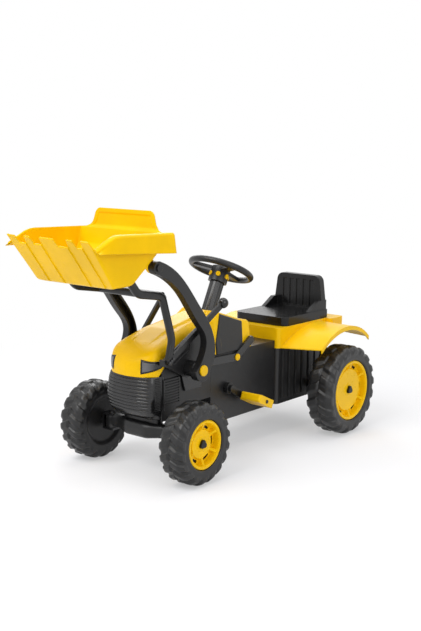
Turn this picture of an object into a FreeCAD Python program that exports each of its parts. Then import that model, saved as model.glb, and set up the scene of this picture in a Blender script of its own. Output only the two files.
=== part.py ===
import FreeCAD, Part
import json
import math
import os

# Ride-on pedal tractor toy with a front loader, in millimetres.
# The tractor faces +X, the rider's left side is +Y and the wheels stand on Z = 0.
# Lengths along X are laid out from the rear axle, and the finished pieces are shifted together so that the
# origin lies under the middle of the whole toy.
Vector = FreeCAD.Vector
AXIS_X = Vector(1, 0, 0)
AXIS_Y = Vector(0, 1, 0)
AXIS_Z = Vector(0, 0, 1)

# Wheels and axles
WHEELBASE = 675.0
REAR_RADIUS = 137.5
REAR_WIDTH = 90.0
REAR_HALF_TRACK = 210.0
REAR_RIM_RADIUS = 92.5
FRONT_RADIUS = 110.5
FRONT_WIDTH = 80.0
FRONT_HALF_TRACK = 186.0
FRONT_RIM_RADIUS = 66.5
TYRE_WALL = 5.0
TYRE_SHOULDER = 13.0
LUG_HEIGHT = 5.0
LUG_WIDTH = 20.0
LUG_COUNT = 18
LUG_SLANT = 15.0
LUG_EDGE = 4.0
INNER_DISC_INSET = 10.0
RIM_INSET = 4.0
RIM_LIP = 9.0
RIM_DISH = 18.0
RIM_WALL = 4.0
RIM_SLOTS = 6
HUB_RADIUS = 19.0
HUB_RAISE = 6.0
CAP_RADIUS = 15.0
CAP_HEIGHT = 8.0
AXLE_RADIUS = 6.0

# Clearances
RUN_FIT = 0.06
SEAT_FIT = 0.1
SIDE_GAP = 0.5
MOVE_GAP = 1.0
SLIDE_GAP = 0.3
SLOT_PLAY = 1.6

# Body
WALL = 3.0
BODY_HALF = 86.0
REAR_BODY_BACK = -100.0
REAR_BODY_FRONT = 185.0
REAR_BODY_HALF = 97.0
REAR_BODY_TOP = 276.0
AXLE_TO_FLOOR = 35.5
LOW_FLOOR = REAR_RADIUS - AXLE_TO_FLOOR
TUNNEL_FRONT = WHEELBASE - 185.0
TUNNEL_SLOPE = 34.0
BODY_TOP = 300.0
ENGINE_FLOOR = 182.0
NOSE_BACK = WHEELBASE + 20.0
RIDGE_COUNT = 7
RIDGE_DEPTH = 3.0
GRILLE_TIP = NOSE_BACK + 50.0
GRILLE_STEP = 4.0
GRILLE_WALL = 5.0
GRILLE_RIBS = 6
CHIN_HEIGHT = 30.0
CHIN_TAPER = 20.0
APRON_LENGTH = 130.0
VENT_LENGTH = 66.0
VENT_HEIGHT = 72.0
VENT_PLATE = 4.0
VENT_SLATS = 9

# Hood, cowl and seat
HOOD_BACK = WHEELBASE - 205.0
HOOD_TIP = GRILLE_TIP + 5.0
HOOD_BOTTOM = 276.0
HOOD_BACK_TOP = 408.0
BEND_X = HOOD_TIP - 150.0
BEND_Z = 384.0
CREST_X = HOOD_TIP - 50.0
CREST_Z = 354.0
BROW_DROP = 22.0
BROW_SETBACK = 17.0
CHIN_RISE = 14.0
HOOD_SHOULDER = 70.0
HOOD_TOP_HALF = 56.0
PANEL_HALF = 34.0
PANEL_RAISE = 6.0
LENS_PROUD = 2.0
COWL_BACK = HOOD_BACK - 171.0
COWL_FRONT_TOP = 417.0
COWL_BACK_TOP = 377.0
COWL_PANEL = 5.0
PANEL_SETBACK = 42.0
PANEL_FRONT = 36.0
PANEL_RAKE = 32.0
PANEL_UPRIGHT = 33.0
PANEL_MARGIN = 4.0
PANEL_CORNER = 8.0
SEAT_BASE_BACK = -140.0
SEAT_BASE_HALF = 101.0
SEAT_BASE_TOP = 338.0
REAR_BLOCK_HALF = 122.0
REAR_BLOCK_FRONT = -72.0
FENDER_EDGE = 221.0
FENDER_WALL = 4.0
FENDER_LIP = 11.0
FENDER_INNER = ((-128.0, 158.0), (-66.0, 190.0), (40.0, 192.0))
FENDER_INNER_FRONT = 14.0
FENDER_INNER_RISE = 141.0
FENDER_OUTER = ((-142.0, 148.0), (-72.0, 187.0), (36.0, 189.0), (128.0, 143.0))
BOX_CORNER = 12.0
REAR_BLOCK_RISE = 16.0
REAR_BLOCK_OVERHANG = 6.0
SEAT_BACK = -84.0
SEAT_FRONT = 150.0
SEAT_HALF = 98.0
SEAT_PAN = 27.0
SEAT_BACK_HEIGHT = 134.0
SEAT_BACK_THICK = 24.0
SEAT_TOP_HALF = 80.0
SEAT_FLUTES = 5
SEAT_FRONT_CORNER = 24.0
SEAT_TOP_CORNER = 22.0
SEAT_ROLL_LENGTH = 96.0
SEAT_ROLL_FLAT = 44.0
SEAT_ROLL_HEIGHT = 30.0
SEAT_ROLL_WIDTH = 14.0
SEAT_ROLL_INSET = 4.0
FLUTE_MARGIN = 16.0
FLUTE_DEPTH = 3.0

# Steering
STEER_TILT = 26.0
STEER_CENTRE_X = COWL_BACK + 42.0
STEER_CENTRE_Z = 523.0
STEER_RIM_RADIUS = 89.0
STEER_RIM_TUBE = 9.5
STEER_HUB_RADIUS = 28.0
STEER_HUB_DEPTH = 40.0
SHAFT_RADIUS = 6.0
COLUMN_RADIUS = 19.0
PITMAN_RADIUS = 30.0
STEER_ARM = 65.0
PITMAN_HEIGHT = 147.0
STEER_RANGE = 45.0
KNUCKLE_RANGE = 18.9
KINGPIN_Y = 118.0
KINGPIN_RADIUS = 7.0
KNUCKLE_BOSS = 18.0
KNUCKLE_PLATE = 6.0
BEAM_BOTTOM = 98.0
BEAM_TOP = 132.0
BEAM_FRONT = 40.0
BEAM_BACK = 35.0
BEAM_MIDDLE_HALF = 78.0
BEAM_CORNER = 15.0
BEAM_NECK = 20.0
BEAM_NECK_HALF = 52.0
TIE_ROD_THICK = 8.0
STEER_PIN = 4.0
HORN_RADIUS = 17.0
HORN_TRAVEL = 3.0
HORN_RECESS = 8.0
SHAFT_STOP = 12.0
PLUG_RADIUS = 7.0
PLUG_COUNT = 6

# Pedal drive
CRANK_X = TUNNEL_FRONT - 72.0
CRANK_Z = 196.0
CRANK_LENGTH = 71.0
CRANK_REST = 211.0
CRANK_RADIUS = 7.0
CRANK_ARM = 8.0
CRANK_ARM_INNER = 102.0
PEDAL_LENGTH = 75.0
PEDAL_WIDTH = 70.0
PEDAL_THICK = 24.0
PEDAL_TILT = 25.0
PEDAL_PIN = 5.0
PEDAL_GAP = 6.0
CHAIN_Y = 30.0
CHAIN_PITCH = 12.7
CRANK_TEETH = 18
REAR_TEETH = 11
SPROCKET_THICK = 4.0
CHAIN_HEIGHT = 6.0
CHAIN_WIDTH = 9.0

# Loader
PIVOT_X = WHEELBASE - 69.0
PIVOT_Z = 288.0
PIVOT_RADIUS = 7.0
PIVOT_BOSS = 22.0
MOUNT_PLATE = 9.0
MOUNT_FOOT_DROP = 66.0
MOUNT_FOOT_LENGTH = 70.0
RAIL_X = PIVOT_X - 225.0
RAIL_Z = PIVOT_Z - 7.0
RAIL_END_X = RAIL_X - 69.0
RAIL_END_Z = RAIL_Z + 41.0
RAIL_HEIGHT = 22.0
SIDE_PLATE_INNER = 97.0
SIDE_PLATE = 6.0
SIDE_PLATE_RIM = 2.0
PLATE_APEX = (115.0, 29.0)
PLATE_SHORT_APEX = (72.0, 29.0)
PLATE_FOOT = (5.0, -27.0)
PLATE_HEEL = (-45.0, -4.0)
PLATE_TOP = (-62.0, 119.0)
PLATE_SHORT_TOP = (-40.0, 66.0)
PLATE_WELL = ((2.0, 62.0), (58.0, 32.0))
PLATE_WELL_WIDTH = 24.0
ARM_INNER = 133.0
ARM_THICK = 22.0
ARM_WALL = 5.0
ARM_HUB = 30.0
ARM_SHIN = (-49.0, 39.0)
ARM_KNEE_BACK = (-31.0, 115.0)
ARM_THIGH_BACK = (16.0, 177.0)
ARM_NECK_BACK = (-79.0, -25.0)
ARM_NECK_FRONT = (-86.0, -74.0)
ARM_THIGH_FRONT = (22.0, 133.0)
ARM_KNEE_FRONT = (-13.0, 80.0)
ARM_SHIN_FRONT = (-5.0, 42.0)
ARM_TIP_LEAN = 31.0
TIP_X = PIVOT_X + 176.0
TIP_Z = PIVOT_Z + 292.0
TIP_RADIUS = 17.0
TIP_PIN = 6.0
PIVOT_CAP = 15.0
PIVOT_CAP_THICK = 5.0
RAIL_CAP = 10.0
CORNER_X = PIVOT_X + 93.0
CORNER_Z = PIVOT_Z + 35.0
FRAME_INNER = 104.5
FRAME_THICK = 16.0
FRAME_BAR = 22.0
CROSS_X = CORNER_X + 25.0
CROSS_Z = CORNER_Z + 175.0
LEVER_BAR = 16.0
LEVER_THICK = 8.0
TILT_KNOB_X = CORNER_X - 223.0
TILT_KNOB_Z = CORNER_Z + 129.0
LIFT_KNOB_X = PIVOT_X - 136.0
LIFT_KNOB_Z = PIVOT_Z + 152.0
KNOB_RADIUS = 15.0
BOLT_RADIUS = 3.5

# Bucket
BUCKET_FLOOR_BACK = TIP_X + 86.0
BUCKET_FLOOR_FRONT = BUCKET_FLOOR_BACK + 66.0
BUCKET_FLOOR_Z = TIP_Z - 43.0
BUCKET_FLOOR_HALF = 139.0
BUCKET_BEND_BACK = TIP_X - 12.0
BUCKET_BEND_Z = TIP_Z + 38.0
BUCKET_RIM_BACK = TIP_X - 25.0
BUCKET_RIM_Z = TIP_Z + 86.0
BUCKET_RIM_HALF = 151.0
BUCKET_LIP_X = BUCKET_FLOOR_FRONT + 69.0
BUCKET_LIP_Z = BUCKET_FLOOR_Z + 105.0
BUCKET_WALL = 3.0
SKIRT_OUT = 17.0
SKIRT_BACK = 27.0
SKIRT_DROP = 52.0
SKIRT_CREST_X = BUCKET_LIP_X - 63.0
SKIRT_CREST_RISE = 6.0
TOOTH_HEIGHT = 24.0
TOOTH_THICK = 4.0
TOOTH_WIDTHS = (31.0, 18.0, 49.0, 18.0, 31.0)
TOOTH_GAP = 32.0
TOOTH_FLARE = 5.0
GUARD_HEIGHT = 52.0
GUARD_TOP_HALF = 92.0
GUARD_BASE_HALF = 137.0
GROOVE_DEPTH = 1.2
GROOVE_WIDTH = 3.0
LUG_INNER = 122.0

# Tow hitch
HITCH_REACH = 38.0
HITCH_HALF = 24.0
HITCH_THICK = 8.0
HITCH_HOLE = 6.5

LEFT = 1
RIGHT = -1
SIDES = ((LEFT, "left"), (RIGHT, "right"))


def block(x0, x1, y0, y1, z0, z1):
    """Box between two corners."""
    return Part.makeBox(x1 - x0, y1 - y0, z1 - z0, Vector(x0, y0, z0))


def rod_y(x, z, radius, y0, y1):
    """Round bar along Y."""
    return Part.makeCylinder(radius, y1 - y0, Vector(x, y0, z), Vector(0, 1, 0))


def rod_z(x, y, radius, z0, z1):
    """Round bar along Z."""
    return Part.makeCylinder(radius, z1 - z0, Vector(x, y, z0), Vector(0, 0, 1))


def prism_y(points, y0, y1):
    """Polygon in the XZ plane carried along Y."""
    corners = [Vector(x, y0, z) for x, z in points]
    wire = Part.makePolygon(corners + corners[:1])
    return Part.Face(wire).extrude(Vector(0, y1 - y0, 0))


def bar_y(points, height, y0, y1):
    """Flat bar with round ends that follows points in the XZ plane, between y0 and y1."""
    solid = None
    for (xa, za), (xb, zb) in zip(points, points[1:]):
        length = math.hypot(xb - xa, zb - za)
        nx = -(zb - za) / length * height / 2
        nz = (xb - xa) / length * height / 2
        outline = [(xa + nx, za + nz), (xb + nx, zb + nz), (xb - nx, zb - nz), (xa - nx, za - nz)]
        piece = prism_y(outline, y0, y1)
        solid = piece if solid is None else solid.fuse(piece)
    for x, z in points:
        solid = solid.fuse(rod_y(x, z, height / 2, y0, y1))
    return solid.removeSplitter()


def both_sides(shape):
    """The shape and its mirror image across the middle plane, as two solids."""
    return Part.makeCompound([shape, mirrored(shape)])


def loft(wires):
    """Solid with straight walls between outlines, its faces turned outwards."""
    solid = Part.makeLoft(wires, True, True)
    if solid.Volume < 0:
        solid.reverse()
    return solid


def mirrored(shape):
    """Mirror image across the middle plane."""
    return shape.mirror(Vector(0, 0, 0), Vector(0, 1, 0))


def for_side(shape, side):
    """The left-hand shape, or its mirror image for the right."""
    return shape if side == LEFT else mirrored(shape)


def soften(shape, radius, test):
    """Round the edges that the test picks."""
    edges = [edge for edge in shape.Edges if test(edge)]
    return shape.makeFillet(radius, edges) if edges else shape


def along(edge, axis):
    """True for a straight edge that runs along the axis."""
    if edge.Curve.TypeId != "Part::GeomLine":
        return False
    direction = edge.tangentAt(edge.FirstParameter)
    return abs(abs(direction.dot(axis)) - 1) < 1e-6


# Wheels: a hollow black wheel with moulded lugs, and a yellow rim cover on its outer face
def revolve_y(points):
    """Polygon of (radius, y) pairs turned once about the Y axis."""
    wire = Part.makePolygon([Vector(r, y, 0) for r, y in points] + [Vector(points[0][0], points[0][1], 0)])
    return Part.Face(wire).revolve(Vector(0, 0, 0), AXIS_Y, 360)


def tread_lug(radius, half, turn, sign):
    """One slanted lug of the chevron tread, on one half of the tread, broader at its root."""
    near = LUG_EDGE / 2 * sign
    far = (half - LUG_EDGE) * sign
    lean = LUG_SLANT / 2
    width = LUG_WIDTH / 2
    top = math.sqrt(radius ** 2 - (lean + width) ** 2)
    base = radius - LUG_HEIGHT - TYRE_WALL + SEAT_FIT
    rings = []
    for height, grow in ((base, LUG_HEIGHT), (top, 0.0)):
        edge = width + grow
        corners = [(-lean - edge, near), (lean - edge, far), (lean + edge, far), (-lean + edge, near)]
        ring = [Vector(x, y, height) for x, y in corners]
        rings.append(Part.makePolygon(ring + ring[:1]))
    lug = loft(rings)
    lug.rotate(Vector(0, 0, 0), AXIS_Y, turn)
    return lug


def wheel_body(radius, width, rim_radius):
    """Hollow wheel, open on its outer face, with its hub tube and tread lugs."""
    half = width / 2
    tread = radius - LUG_HEIGHT
    bore = AXLE_RADIUS + RUN_FIT
    disc = -half + INNER_DISC_INSET
    hub_end = half - RIM_INSET - RIM_DISH - RIM_WALL
    skew = TYRE_WALL * 0.6
    shell = revolve_y([
        (bore, disc), (rim_radius - 6, disc), (rim_radius + 5, -half), (tread - TYRE_SHOULDER, -half),
        (tread, -half + TYRE_SHOULDER), (tread, half - TYRE_SHOULDER), (tread - TYRE_SHOULDER, half),
        (rim_radius, half), (rim_radius, half - TYRE_WALL),
        (tread - TYRE_SHOULDER - skew + 1, half - TYRE_WALL),
        (tread - TYRE_WALL, half - TYRE_SHOULDER - skew + 1),
        (tread - TYRE_WALL, -half + TYRE_SHOULDER + skew - 1),
        (tread - TYRE_SHOULDER - skew + 1, -half + TYRE_WALL), (rim_radius + 7, -half + TYRE_WALL),
        (rim_radius - 4, disc + TYRE_WALL), (HUB_RADIUS, disc + TYRE_WALL), (HUB_RADIUS, hub_end),
        (bore, hub_end)])
    pitch = 360.0 / LUG_COUNT
    lugs = [tread_lug(radius, half, pitch * index, 1) for index in range(LUG_COUNT)]
    lugs += [tread_lug(radius, half, pitch * (index + 0.5), -1) for index in range(LUG_COUNT)]
    return shell.multiFuse(lugs).removeSplitter()


def rim_cover(width, rim_radius):
    """Dished rim cover with a raised lip, slots round its disc and a hub boss."""
    face = width / 2 - RIM_INSET
    out = rim_radius - SEAT_FIT
    lip = out - RIM_LIP
    disc = face - RIM_DISH
    bore = AXLE_RADIUS + RUN_FIT
    dish = lip - 7
    cover = revolve_y([
        (bore, disc + HUB_RAISE), (HUB_RADIUS, disc + HUB_RAISE), (HUB_RADIUS + 2, disc), (dish, disc),
        (lip, face - 3), (lip + 2, face), (out - 2, face), (out, face - 2),
        (out, face - RIM_DISH - RIM_WALL),
        (out - RIM_WALL, face - RIM_DISH - RIM_WALL), (out - RIM_WALL, face - RIM_LIP - 2),
        (lip + 3, face - RIM_LIP), (dish + 2, disc - RIM_WALL), (bore, disc - RIM_WALL)])
    slot = block(dish - 11, dish - 3, disc - RIM_WALL - 1, disc + 1, -dish * 0.2, dish * 0.2)
    for index in range(RIM_SLOTS):
        cut = slot.copy()
        cut.rotate(Vector(0, 0, 0), AXIS_Y, 360.0 / RIM_SLOTS * (index + 0.5))
        cover = cover.cut(cut)
    return cover


def hub_cap(width):
    """Black rounded-triangle cap over the axle end."""
    seat = width / 2 - RIM_INSET - RIM_DISH + HUB_RAISE
    points = []
    for index in range(3):
        angle = math.radians(90 + 120 * index)
        points.append((CAP_RADIUS * 1.3 * math.cos(angle), CAP_RADIUS * 1.3 * math.sin(angle)))
    cap = prism_y(points, seat, seat + CAP_HEIGHT)
    cap = soften(cap, CAP_RADIUS * 0.45, lambda edge: along(edge, AXIS_Y))
    return soften(cap, 2.0, lambda edge: edge.BoundBox.YMin > seat + CAP_HEIGHT - 0.1)


def axle_reach(half_track, width):
    """Where an axle ends, just inside the wheel's hub cap."""
    return half_track + width / 2 - RIM_INSET - RIM_DISH + HUB_RAISE - SIDE_GAP


# Body: three hollow boxes in a row, open to one another, with a ribbed grille in front
def nose_outline(half, tip, back):
    """Plan of the rounded nose: a shallow front arc, corner arcs and straight sides."""
    reach = tip - back
    shoulder_x = tip - 0.30 * reach
    shoulder_y = 0.72 * half
    corner_x = tip - 0.52 * reach
    corner_y = 0.93 * half
    front = Part.Arc(Vector(shoulder_x, -shoulder_y, 0), Vector(tip, 0, 0),
                     Vector(shoulder_x, shoulder_y, 0))
    left = Part.Arc(Vector(shoulder_x, shoulder_y, 0), Vector(corner_x, corner_y, 0), Vector(back, half, 0))
    right = Part.Arc(Vector(back, -half, 0), Vector(corner_x, -corner_y, 0),
                     Vector(shoulder_x, -shoulder_y, 0))
    closing = Part.LineSegment(Vector(back, half, 0), Vector(back, -half, 0))
    return Part.Wire([curve.toShape() for curve in (front, left, closing, right)])


def nose_prism(half, tip, back, z0, z1):
    """The nose plan carried up from z0 to z1."""
    wire = nose_outline(half, tip, back)
    wire.translate(Vector(0, 0, z0))
    return Part.Face(wire).extrude(Vector(0, 0, z1 - z0))


def bush_radius(shaft):
    """Outside of the plastic bush round a shaft."""
    return shaft + 5.0


def steer_passage():
    """Clear way for the turning steering shaft through the body."""
    return steer_rod(SHAFT_RADIUS + MOVE_GAP, shaft_low(), 0.0)


def rear_body():
    """Black rear box with upright ridges; it carries the rear axle."""
    form = block(REAR_BODY_BACK, REAR_BODY_FRONT, -REAR_BODY_HALF, REAR_BODY_HALF, LOW_FLOOR, REAR_BODY_TOP)
    form = soften(form, BOX_CORNER, lambda edge: along(edge, AXIS_Z))
    pitch = (REAR_BODY_FRONT - REAR_BODY_BACK - 40) / RIDGE_COUNT
    for index in range(RIDGE_COUNT):
        x = REAR_BODY_BACK + 20 + pitch * (index + 0.5)
        low = LOW_FLOOR + 14
        if abs(x) < bush_radius(AXLE_RADIUS) + 5 + pitch * 0.28:
            low = REAR_RADIUS + bush_radius(AXLE_RADIUS) + 8
        form = form.fuse(block(x - pitch * 0.28, x + pitch * 0.28, -REAR_BODY_HALF - RIDGE_DEPTH,
                               REAR_BODY_HALF + RIDGE_DEPTH, low, REAR_BODY_TOP - 6))
    room = block(REAR_BODY_BACK + WALL, REAR_BODY_FRONT - WALL, -REAR_BODY_HALF + WALL,
                 REAR_BODY_HALF - WALL,
                 LOW_FLOOR + WALL, REAR_BODY_TOP - WALL)
    room = soften(room, BOX_CORNER - WALL, lambda edge: along(edge, AXIS_Z))
    doorway = block(REAR_BODY_FRONT - 20, REAR_BODY_FRONT + 1, -BODY_HALF + WALL, BODY_HALF - WALL,
                    LOW_FLOOR + WALL, REAR_BODY_TOP - WALL)
    form = form.cut(room).cut(doorway)
    return form.cut(rod_y(0, REAR_RADIUS, bush_radius(AXLE_RADIUS), -REAR_HALF_TRACK, REAR_HALF_TRACK))


def tunnel_profile(inset):
    """Side outline of the footwell tunnel, its lower front corner cut back."""
    return [(REAR_BODY_FRONT, LOW_FLOOR + inset),
            (TUNNEL_FRONT - TUNNEL_SLOPE - inset * 0.5, LOW_FLOOR + inset),
            (TUNNEL_FRONT - inset, LOW_FLOOR + 1.7 * TUNNEL_SLOPE),
            (TUNNEL_FRONT - inset, BODY_TOP - inset),
            (REAR_BODY_FRONT, BODY_TOP - inset)]


def tunnel_body():
    """Black footwell tunnel between the rear box and the engine box; it carries the crank."""
    form = prism_y(tunnel_profile(0.0), -BODY_HALF, BODY_HALF)
    room = prism_y(tunnel_profile(WALL), -BODY_HALF + WALL, BODY_HALF - WALL)
    front = block(TUNNEL_FRONT - 2 * WALL, TUNNEL_FRONT + 1, -BODY_HALF + WALL, BODY_HALF - WALL,
                  ENGINE_FLOOR + WALL, BODY_TOP - WALL)
    step = block(REAR_BODY_FRONT, REAR_BODY_FRONT + WALL, -BODY_HALF, BODY_HALF, REAR_BODY_TOP, BODY_TOP)
    form = form.cut(room).cut(front).fuse(step)
    form = form.cut(rod_y(CRANK_X, CRANK_Z, bush_radius(CRANK_RADIUS), -REAR_HALF_TRACK, REAR_HALF_TRACK))
    return form.cut(steer_passage()).removeSplitter()


def engine_body():
    """Black engine box under the hood, open to the tunnel and to the grille, with aprons at its sides."""
    form = block(TUNNEL_FRONT, NOSE_BACK, -BODY_HALF, BODY_HALF, ENGINE_FLOOR, BODY_TOP)
    room = block(TUNNEL_FRONT - 1, NOSE_BACK + 1, -BODY_HALF + WALL, BODY_HALF - WALL, ENGINE_FLOOR + WALL,
                 BODY_TOP - WALL)
    apron = block(NOSE_BACK - APRON_LENGTH, NOSE_BACK, BODY_HALF - WALL, BODY_HALF,
                  ENGINE_FLOOR - CHIN_HEIGHT,
                  ENGINE_FLOOR)
    form = form.cut(room).fuse([apron, mirrored(apron)])
    form = form.cut(rod_y(PIVOT_X, PIVOT_Z, PIVOT_RADIUS + MOVE_GAP, -REAR_HALF_TRACK, REAR_HALF_TRACK))
    form = form.cut(steer_passage()).cut(hood_form(-SEAT_FIT).cut(hood_side_room()))
    return max(form.Solids, key=lambda solid: solid.Volume)


def chin():
    """Foot of the nose, drawn in below the ribs."""
    upper = nose_outline(BODY_HALF - GRILLE_STEP, GRILLE_TIP - GRILLE_STEP, NOSE_BACK)
    upper.translate(Vector(0, 0, ENGINE_FLOOR))
    lower = nose_outline(BODY_HALF - CHIN_TAPER, GRILLE_TIP - CHIN_TAPER, NOSE_BACK)
    lower.translate(Vector(0, 0, ENGINE_FLOOR - CHIN_HEIGHT))
    return loft([lower, upper])


def grille():
    """Ribbed nose below the hood, closed at its foot."""
    top = HOOD_BOTTOM - SEAT_FIT
    body = nose_prism(BODY_HALF - GRILLE_STEP, GRILLE_TIP - GRILLE_STEP, NOSE_BACK, ENGINE_FLOOR, top)
    pitch = (top - ENGINE_FLOOR) / (2 * GRILLE_RIBS - 1)
    for index in range(GRILLE_RIBS):
        low = ENGINE_FLOOR + 2 * index * pitch
        body = body.fuse(nose_prism(BODY_HALF, GRILLE_TIP, NOSE_BACK, low, low + pitch))
    room = nose_prism(BODY_HALF - GRILLE_STEP - GRILLE_WALL, GRILLE_TIP - GRILLE_STEP - GRILLE_WALL,
                      NOSE_BACK - 1,
                      ENGINE_FLOOR + GRILLE_WALL, top + 1)
    return body.cut(room).fuse(chin()).removeSplitter()


def side_vent():
    """Louvred plate on the engine box's left side."""
    back = NOSE_BACK - 4 - VENT_LENGTH
    low = ENGINE_FLOOR + 12
    plate = block(back, back + VENT_LENGTH, BODY_HALF, BODY_HALF + VENT_PLATE, low, low + VENT_HEIGHT)
    pitch = VENT_HEIGHT / (VENT_SLATS + 0.5)
    for index in range(VENT_SLATS):
        z = low + pitch * (index + 0.5)
        plate = plate.cut(block(back + 4, back + VENT_LENGTH - 4, BODY_HALF + VENT_PLATE * 0.4,
                                BODY_HALF + VENT_PLATE + 1, z, z + pitch * 0.5))
    return plate


# Hood and cowl: plan, side and front outlines carried through each other
def hood_profile(inset):
    """Side outline of the hood: flat back, arched top that falls forward and a round nose."""
    bottom = HOOD_BOTTOM - 1
    tip = HOOD_TIP - inset
    bend = Vector(BEND_X, 0, BEND_Z - inset)
    crest = Vector(CREST_X, 0, CREST_Z - inset)
    brow = Vector(HOOD_TIP - BROW_SETBACK - inset * 0.7, 0, CREST_Z - BROW_DROP - inset * 0.7)
    chin = Vector(tip, 0, HOOD_BOTTOM + CHIN_RISE)
    back_top = Vector(HOOD_BACK, 0, HOOD_BACK_TOP - inset)
    curves = [Part.Arc(back_top, bend, crest), Part.Arc(crest, brow, chin),
              Part.LineSegment(chin, Vector(tip, 0, bottom)),
              Part.LineSegment(Vector(tip, 0, bottom), Vector(HOOD_BACK, 0, bottom)),
              Part.LineSegment(Vector(HOOD_BACK, 0, bottom), back_top)]
    return Part.Wire([curve.toShape() for curve in curves])


def hood_form(inset):
    """Solid hood shape, shrunk by inset on its outer sides."""
    side = Part.Face(hood_profile(inset))
    side.translate(Vector(0, -2 * BODY_HALF, 0))
    side = side.extrude(Vector(0, 4 * BODY_HALF, 0))
    high = 2 * HOOD_BACK_TOP
    half = BODY_HALF - inset
    plan = nose_prism(half, HOOD_TIP - inset, NOSE_BACK, 0, high)
    plan = plan.fuse(block(HOOD_BACK, NOSE_BACK, -half, half, 0, high))
    top = HOOD_BACK_TOP
    outline = [(-half, 0), (half, 0), (half, top - HOOD_SHOULDER), (HOOD_TOP_HALF - inset, top),
               (-HOOD_TOP_HALF + inset, top), (-half, top - HOOD_SHOULDER)]
    wire = Part.makePolygon([Vector(0, y, z) for y, z in outline + outline[:1]])
    front = Part.Face(wire).extrude(Vector(2 * HOOD_TIP, 0, 0))
    return side.common(plan).common(front)


def hood_side_room():
    """Space below the hood's lower side edge, which rises behind the nose."""
    low = HOOD_BOTTOM - 2
    foot = BODY_TOP + SEAT_FIT
    points = [(HOOD_BACK - 1, low), (HOOD_TIP - 45, low), (HOOD_TIP - 45, HOOD_BOTTOM),
              (NOSE_BACK - 12, foot),
              (HOOD_BACK - 1, foot)]
    return prism_y(points, -2 * BODY_HALF, 2 * BODY_HALF)


def cowl_profile(inset):
    """Side outline of the cowl behind the hood."""
    front = HOOD_BACK + WALL
    return [(COWL_BACK + inset, BODY_TOP), (front, BODY_TOP), (front, HOOD_BACK_TOP - inset),
            (HOOD_BACK - 2 * WALL, HOOD_BACK_TOP - inset),
            (HOOD_BACK - PANEL_FRONT, COWL_FRONT_TOP - inset),
            (COWL_BACK + PANEL_SETBACK, COWL_BACK_TOP + 2 * PANEL_MARGIN - inset),
            (COWL_BACK + inset, COWL_BACK_TOP - inset)]


def cowl_outer():
    """Solid outline of the cowl."""
    return prism_y(cowl_profile(0.0), -BODY_HALF, BODY_HALF)


def cowl_room():
    """Hollow of the cowl, open below and towards the hood."""
    room = prism_y(cowl_profile(WALL), -BODY_HALF + WALL, BODY_HALF - WALL)
    foot = block(COWL_BACK + WALL, HOOD_BACK + WALL, -BODY_HALF + WALL, BODY_HALF - WALL, BODY_TOP - 1,
                 BODY_TOP + 1)
    return room.fuse(foot)


def hood():
    """Yellow hood and cowl in one thin piece, open below, on the body and the grille."""
    raised = hood_form(0.0)
    raised.translate(Vector(0, 0, PANEL_RAISE))
    strip = block(HOOD_BACK, CREST_X + 24, -PANEL_HALF, PANEL_HALF, HOOD_BOTTOM + 60, 2 * HOOD_BACK_TOP)
    form = hood_form(0.0).fuse(raised.common(strip)).fuse(cowl_outer())
    shell = form.cut(hood_form(WALL)).cut(cowl_room()).cut(hood_side_room())
    shell = shell.cut(block(COWL_BACK - 1, NOSE_BACK + SEAT_FIT, -2 * BODY_HALF, 2 * BODY_HALF, 0,
                            HOOD_BOTTOM))
    shell = shell.cut(block(HOOD_BACK, HOOD_TIP + 1, -2 * BODY_HALF, 2 * BODY_HALF, 0, HOOD_BOTTOM))
    shell = shell.cut(steer_passage())
    return max(shell.Solids, key=lambda solid: solid.Volume).removeSplitter()


def headlight():
    """Dark lamp lens lying on the left corner of the nose."""
    skin = hood_form(-LENS_PROUD).cut(hood_form(0.0))
    low = HOOD_BOTTOM + 8
    window = [(0.60 * BODY_HALF, low), (0.59 * BODY_HALF, low + 39), (BODY_HALF + 9, low + 33),
              (BODY_HALF + 9, low + 22), (0.93 * BODY_HALF, low + 3)]
    wire = Part.makePolygon([Vector(NOSE_BACK - 3, y, z) for y, z in window + window[:1]])
    region = Part.Face(wire).extrude(Vector(200, 0, 0))
    return max(skin.common(region).Solids, key=lambda solid: solid.Volume)


def cowl_panel():
    """Black panel on the cowl's left side, with a front edge that leans back."""
    low = BODY_TOP + SIDE_GAP
    back = COWL_BACK + PANEL_SETBACK
    front = HOOD_BACK - PANEL_FRONT
    points = [(back, low), (front + PANEL_RAKE, low), (front + PANEL_RAKE, low + PANEL_UPRIGHT),
              (front, COWL_FRONT_TOP - PANEL_MARGIN), (back, COWL_BACK_TOP + PANEL_MARGIN)]
    panel = prism_y(points, BODY_HALF, BODY_HALF + COWL_PANEL)
    panel = soften(panel, PANEL_CORNER, lambda edge: along(edge, AXIS_Y))
    panel = panel.cut(loader_rail(RAIL_HEIGHT + 2 * SIDE_GAP))
    return max(panel.Solids, key=lambda solid: solid.Volume)


# Steering: column, wheel, shaft, tie rod and knuckles
def steer_place(shape):
    """Carry a shape from the wheel's own frame, axis along Z, to the tilted column."""
    shape.rotate(Vector(0, 0, 0), AXIS_Y, -STEER_TILT)
    shape.translate(Vector(STEER_CENTRE_X, 0, STEER_CENTRE_Z))
    return shape


def steer_rod(radius, low, high):
    """Round bar on the steering axis between two distances from the wheel's centre."""
    return steer_place(Part.makeCylinder(radius, high - low, Vector(0, 0, low), AXIS_Z))


def shaft_low():
    """Lower end of the steering shaft, measured along its axis."""
    return -(STEER_CENTRE_Z - PITMAN_HEIGHT) / math.cos(math.radians(STEER_TILT))


def pitman_x(z):
    """Where the steering arm's slanted pin crosses the level z with the wheels straight."""
    tilt = math.radians(STEER_TILT)
    along_shaft = (z - STEER_CENTRE_Z + PITMAN_RADIUS * math.sin(tilt)) / math.cos(tilt)
    return STEER_CENTRE_X - along_shaft * math.sin(tilt) - PITMAN_RADIUS * math.cos(tilt)


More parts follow.
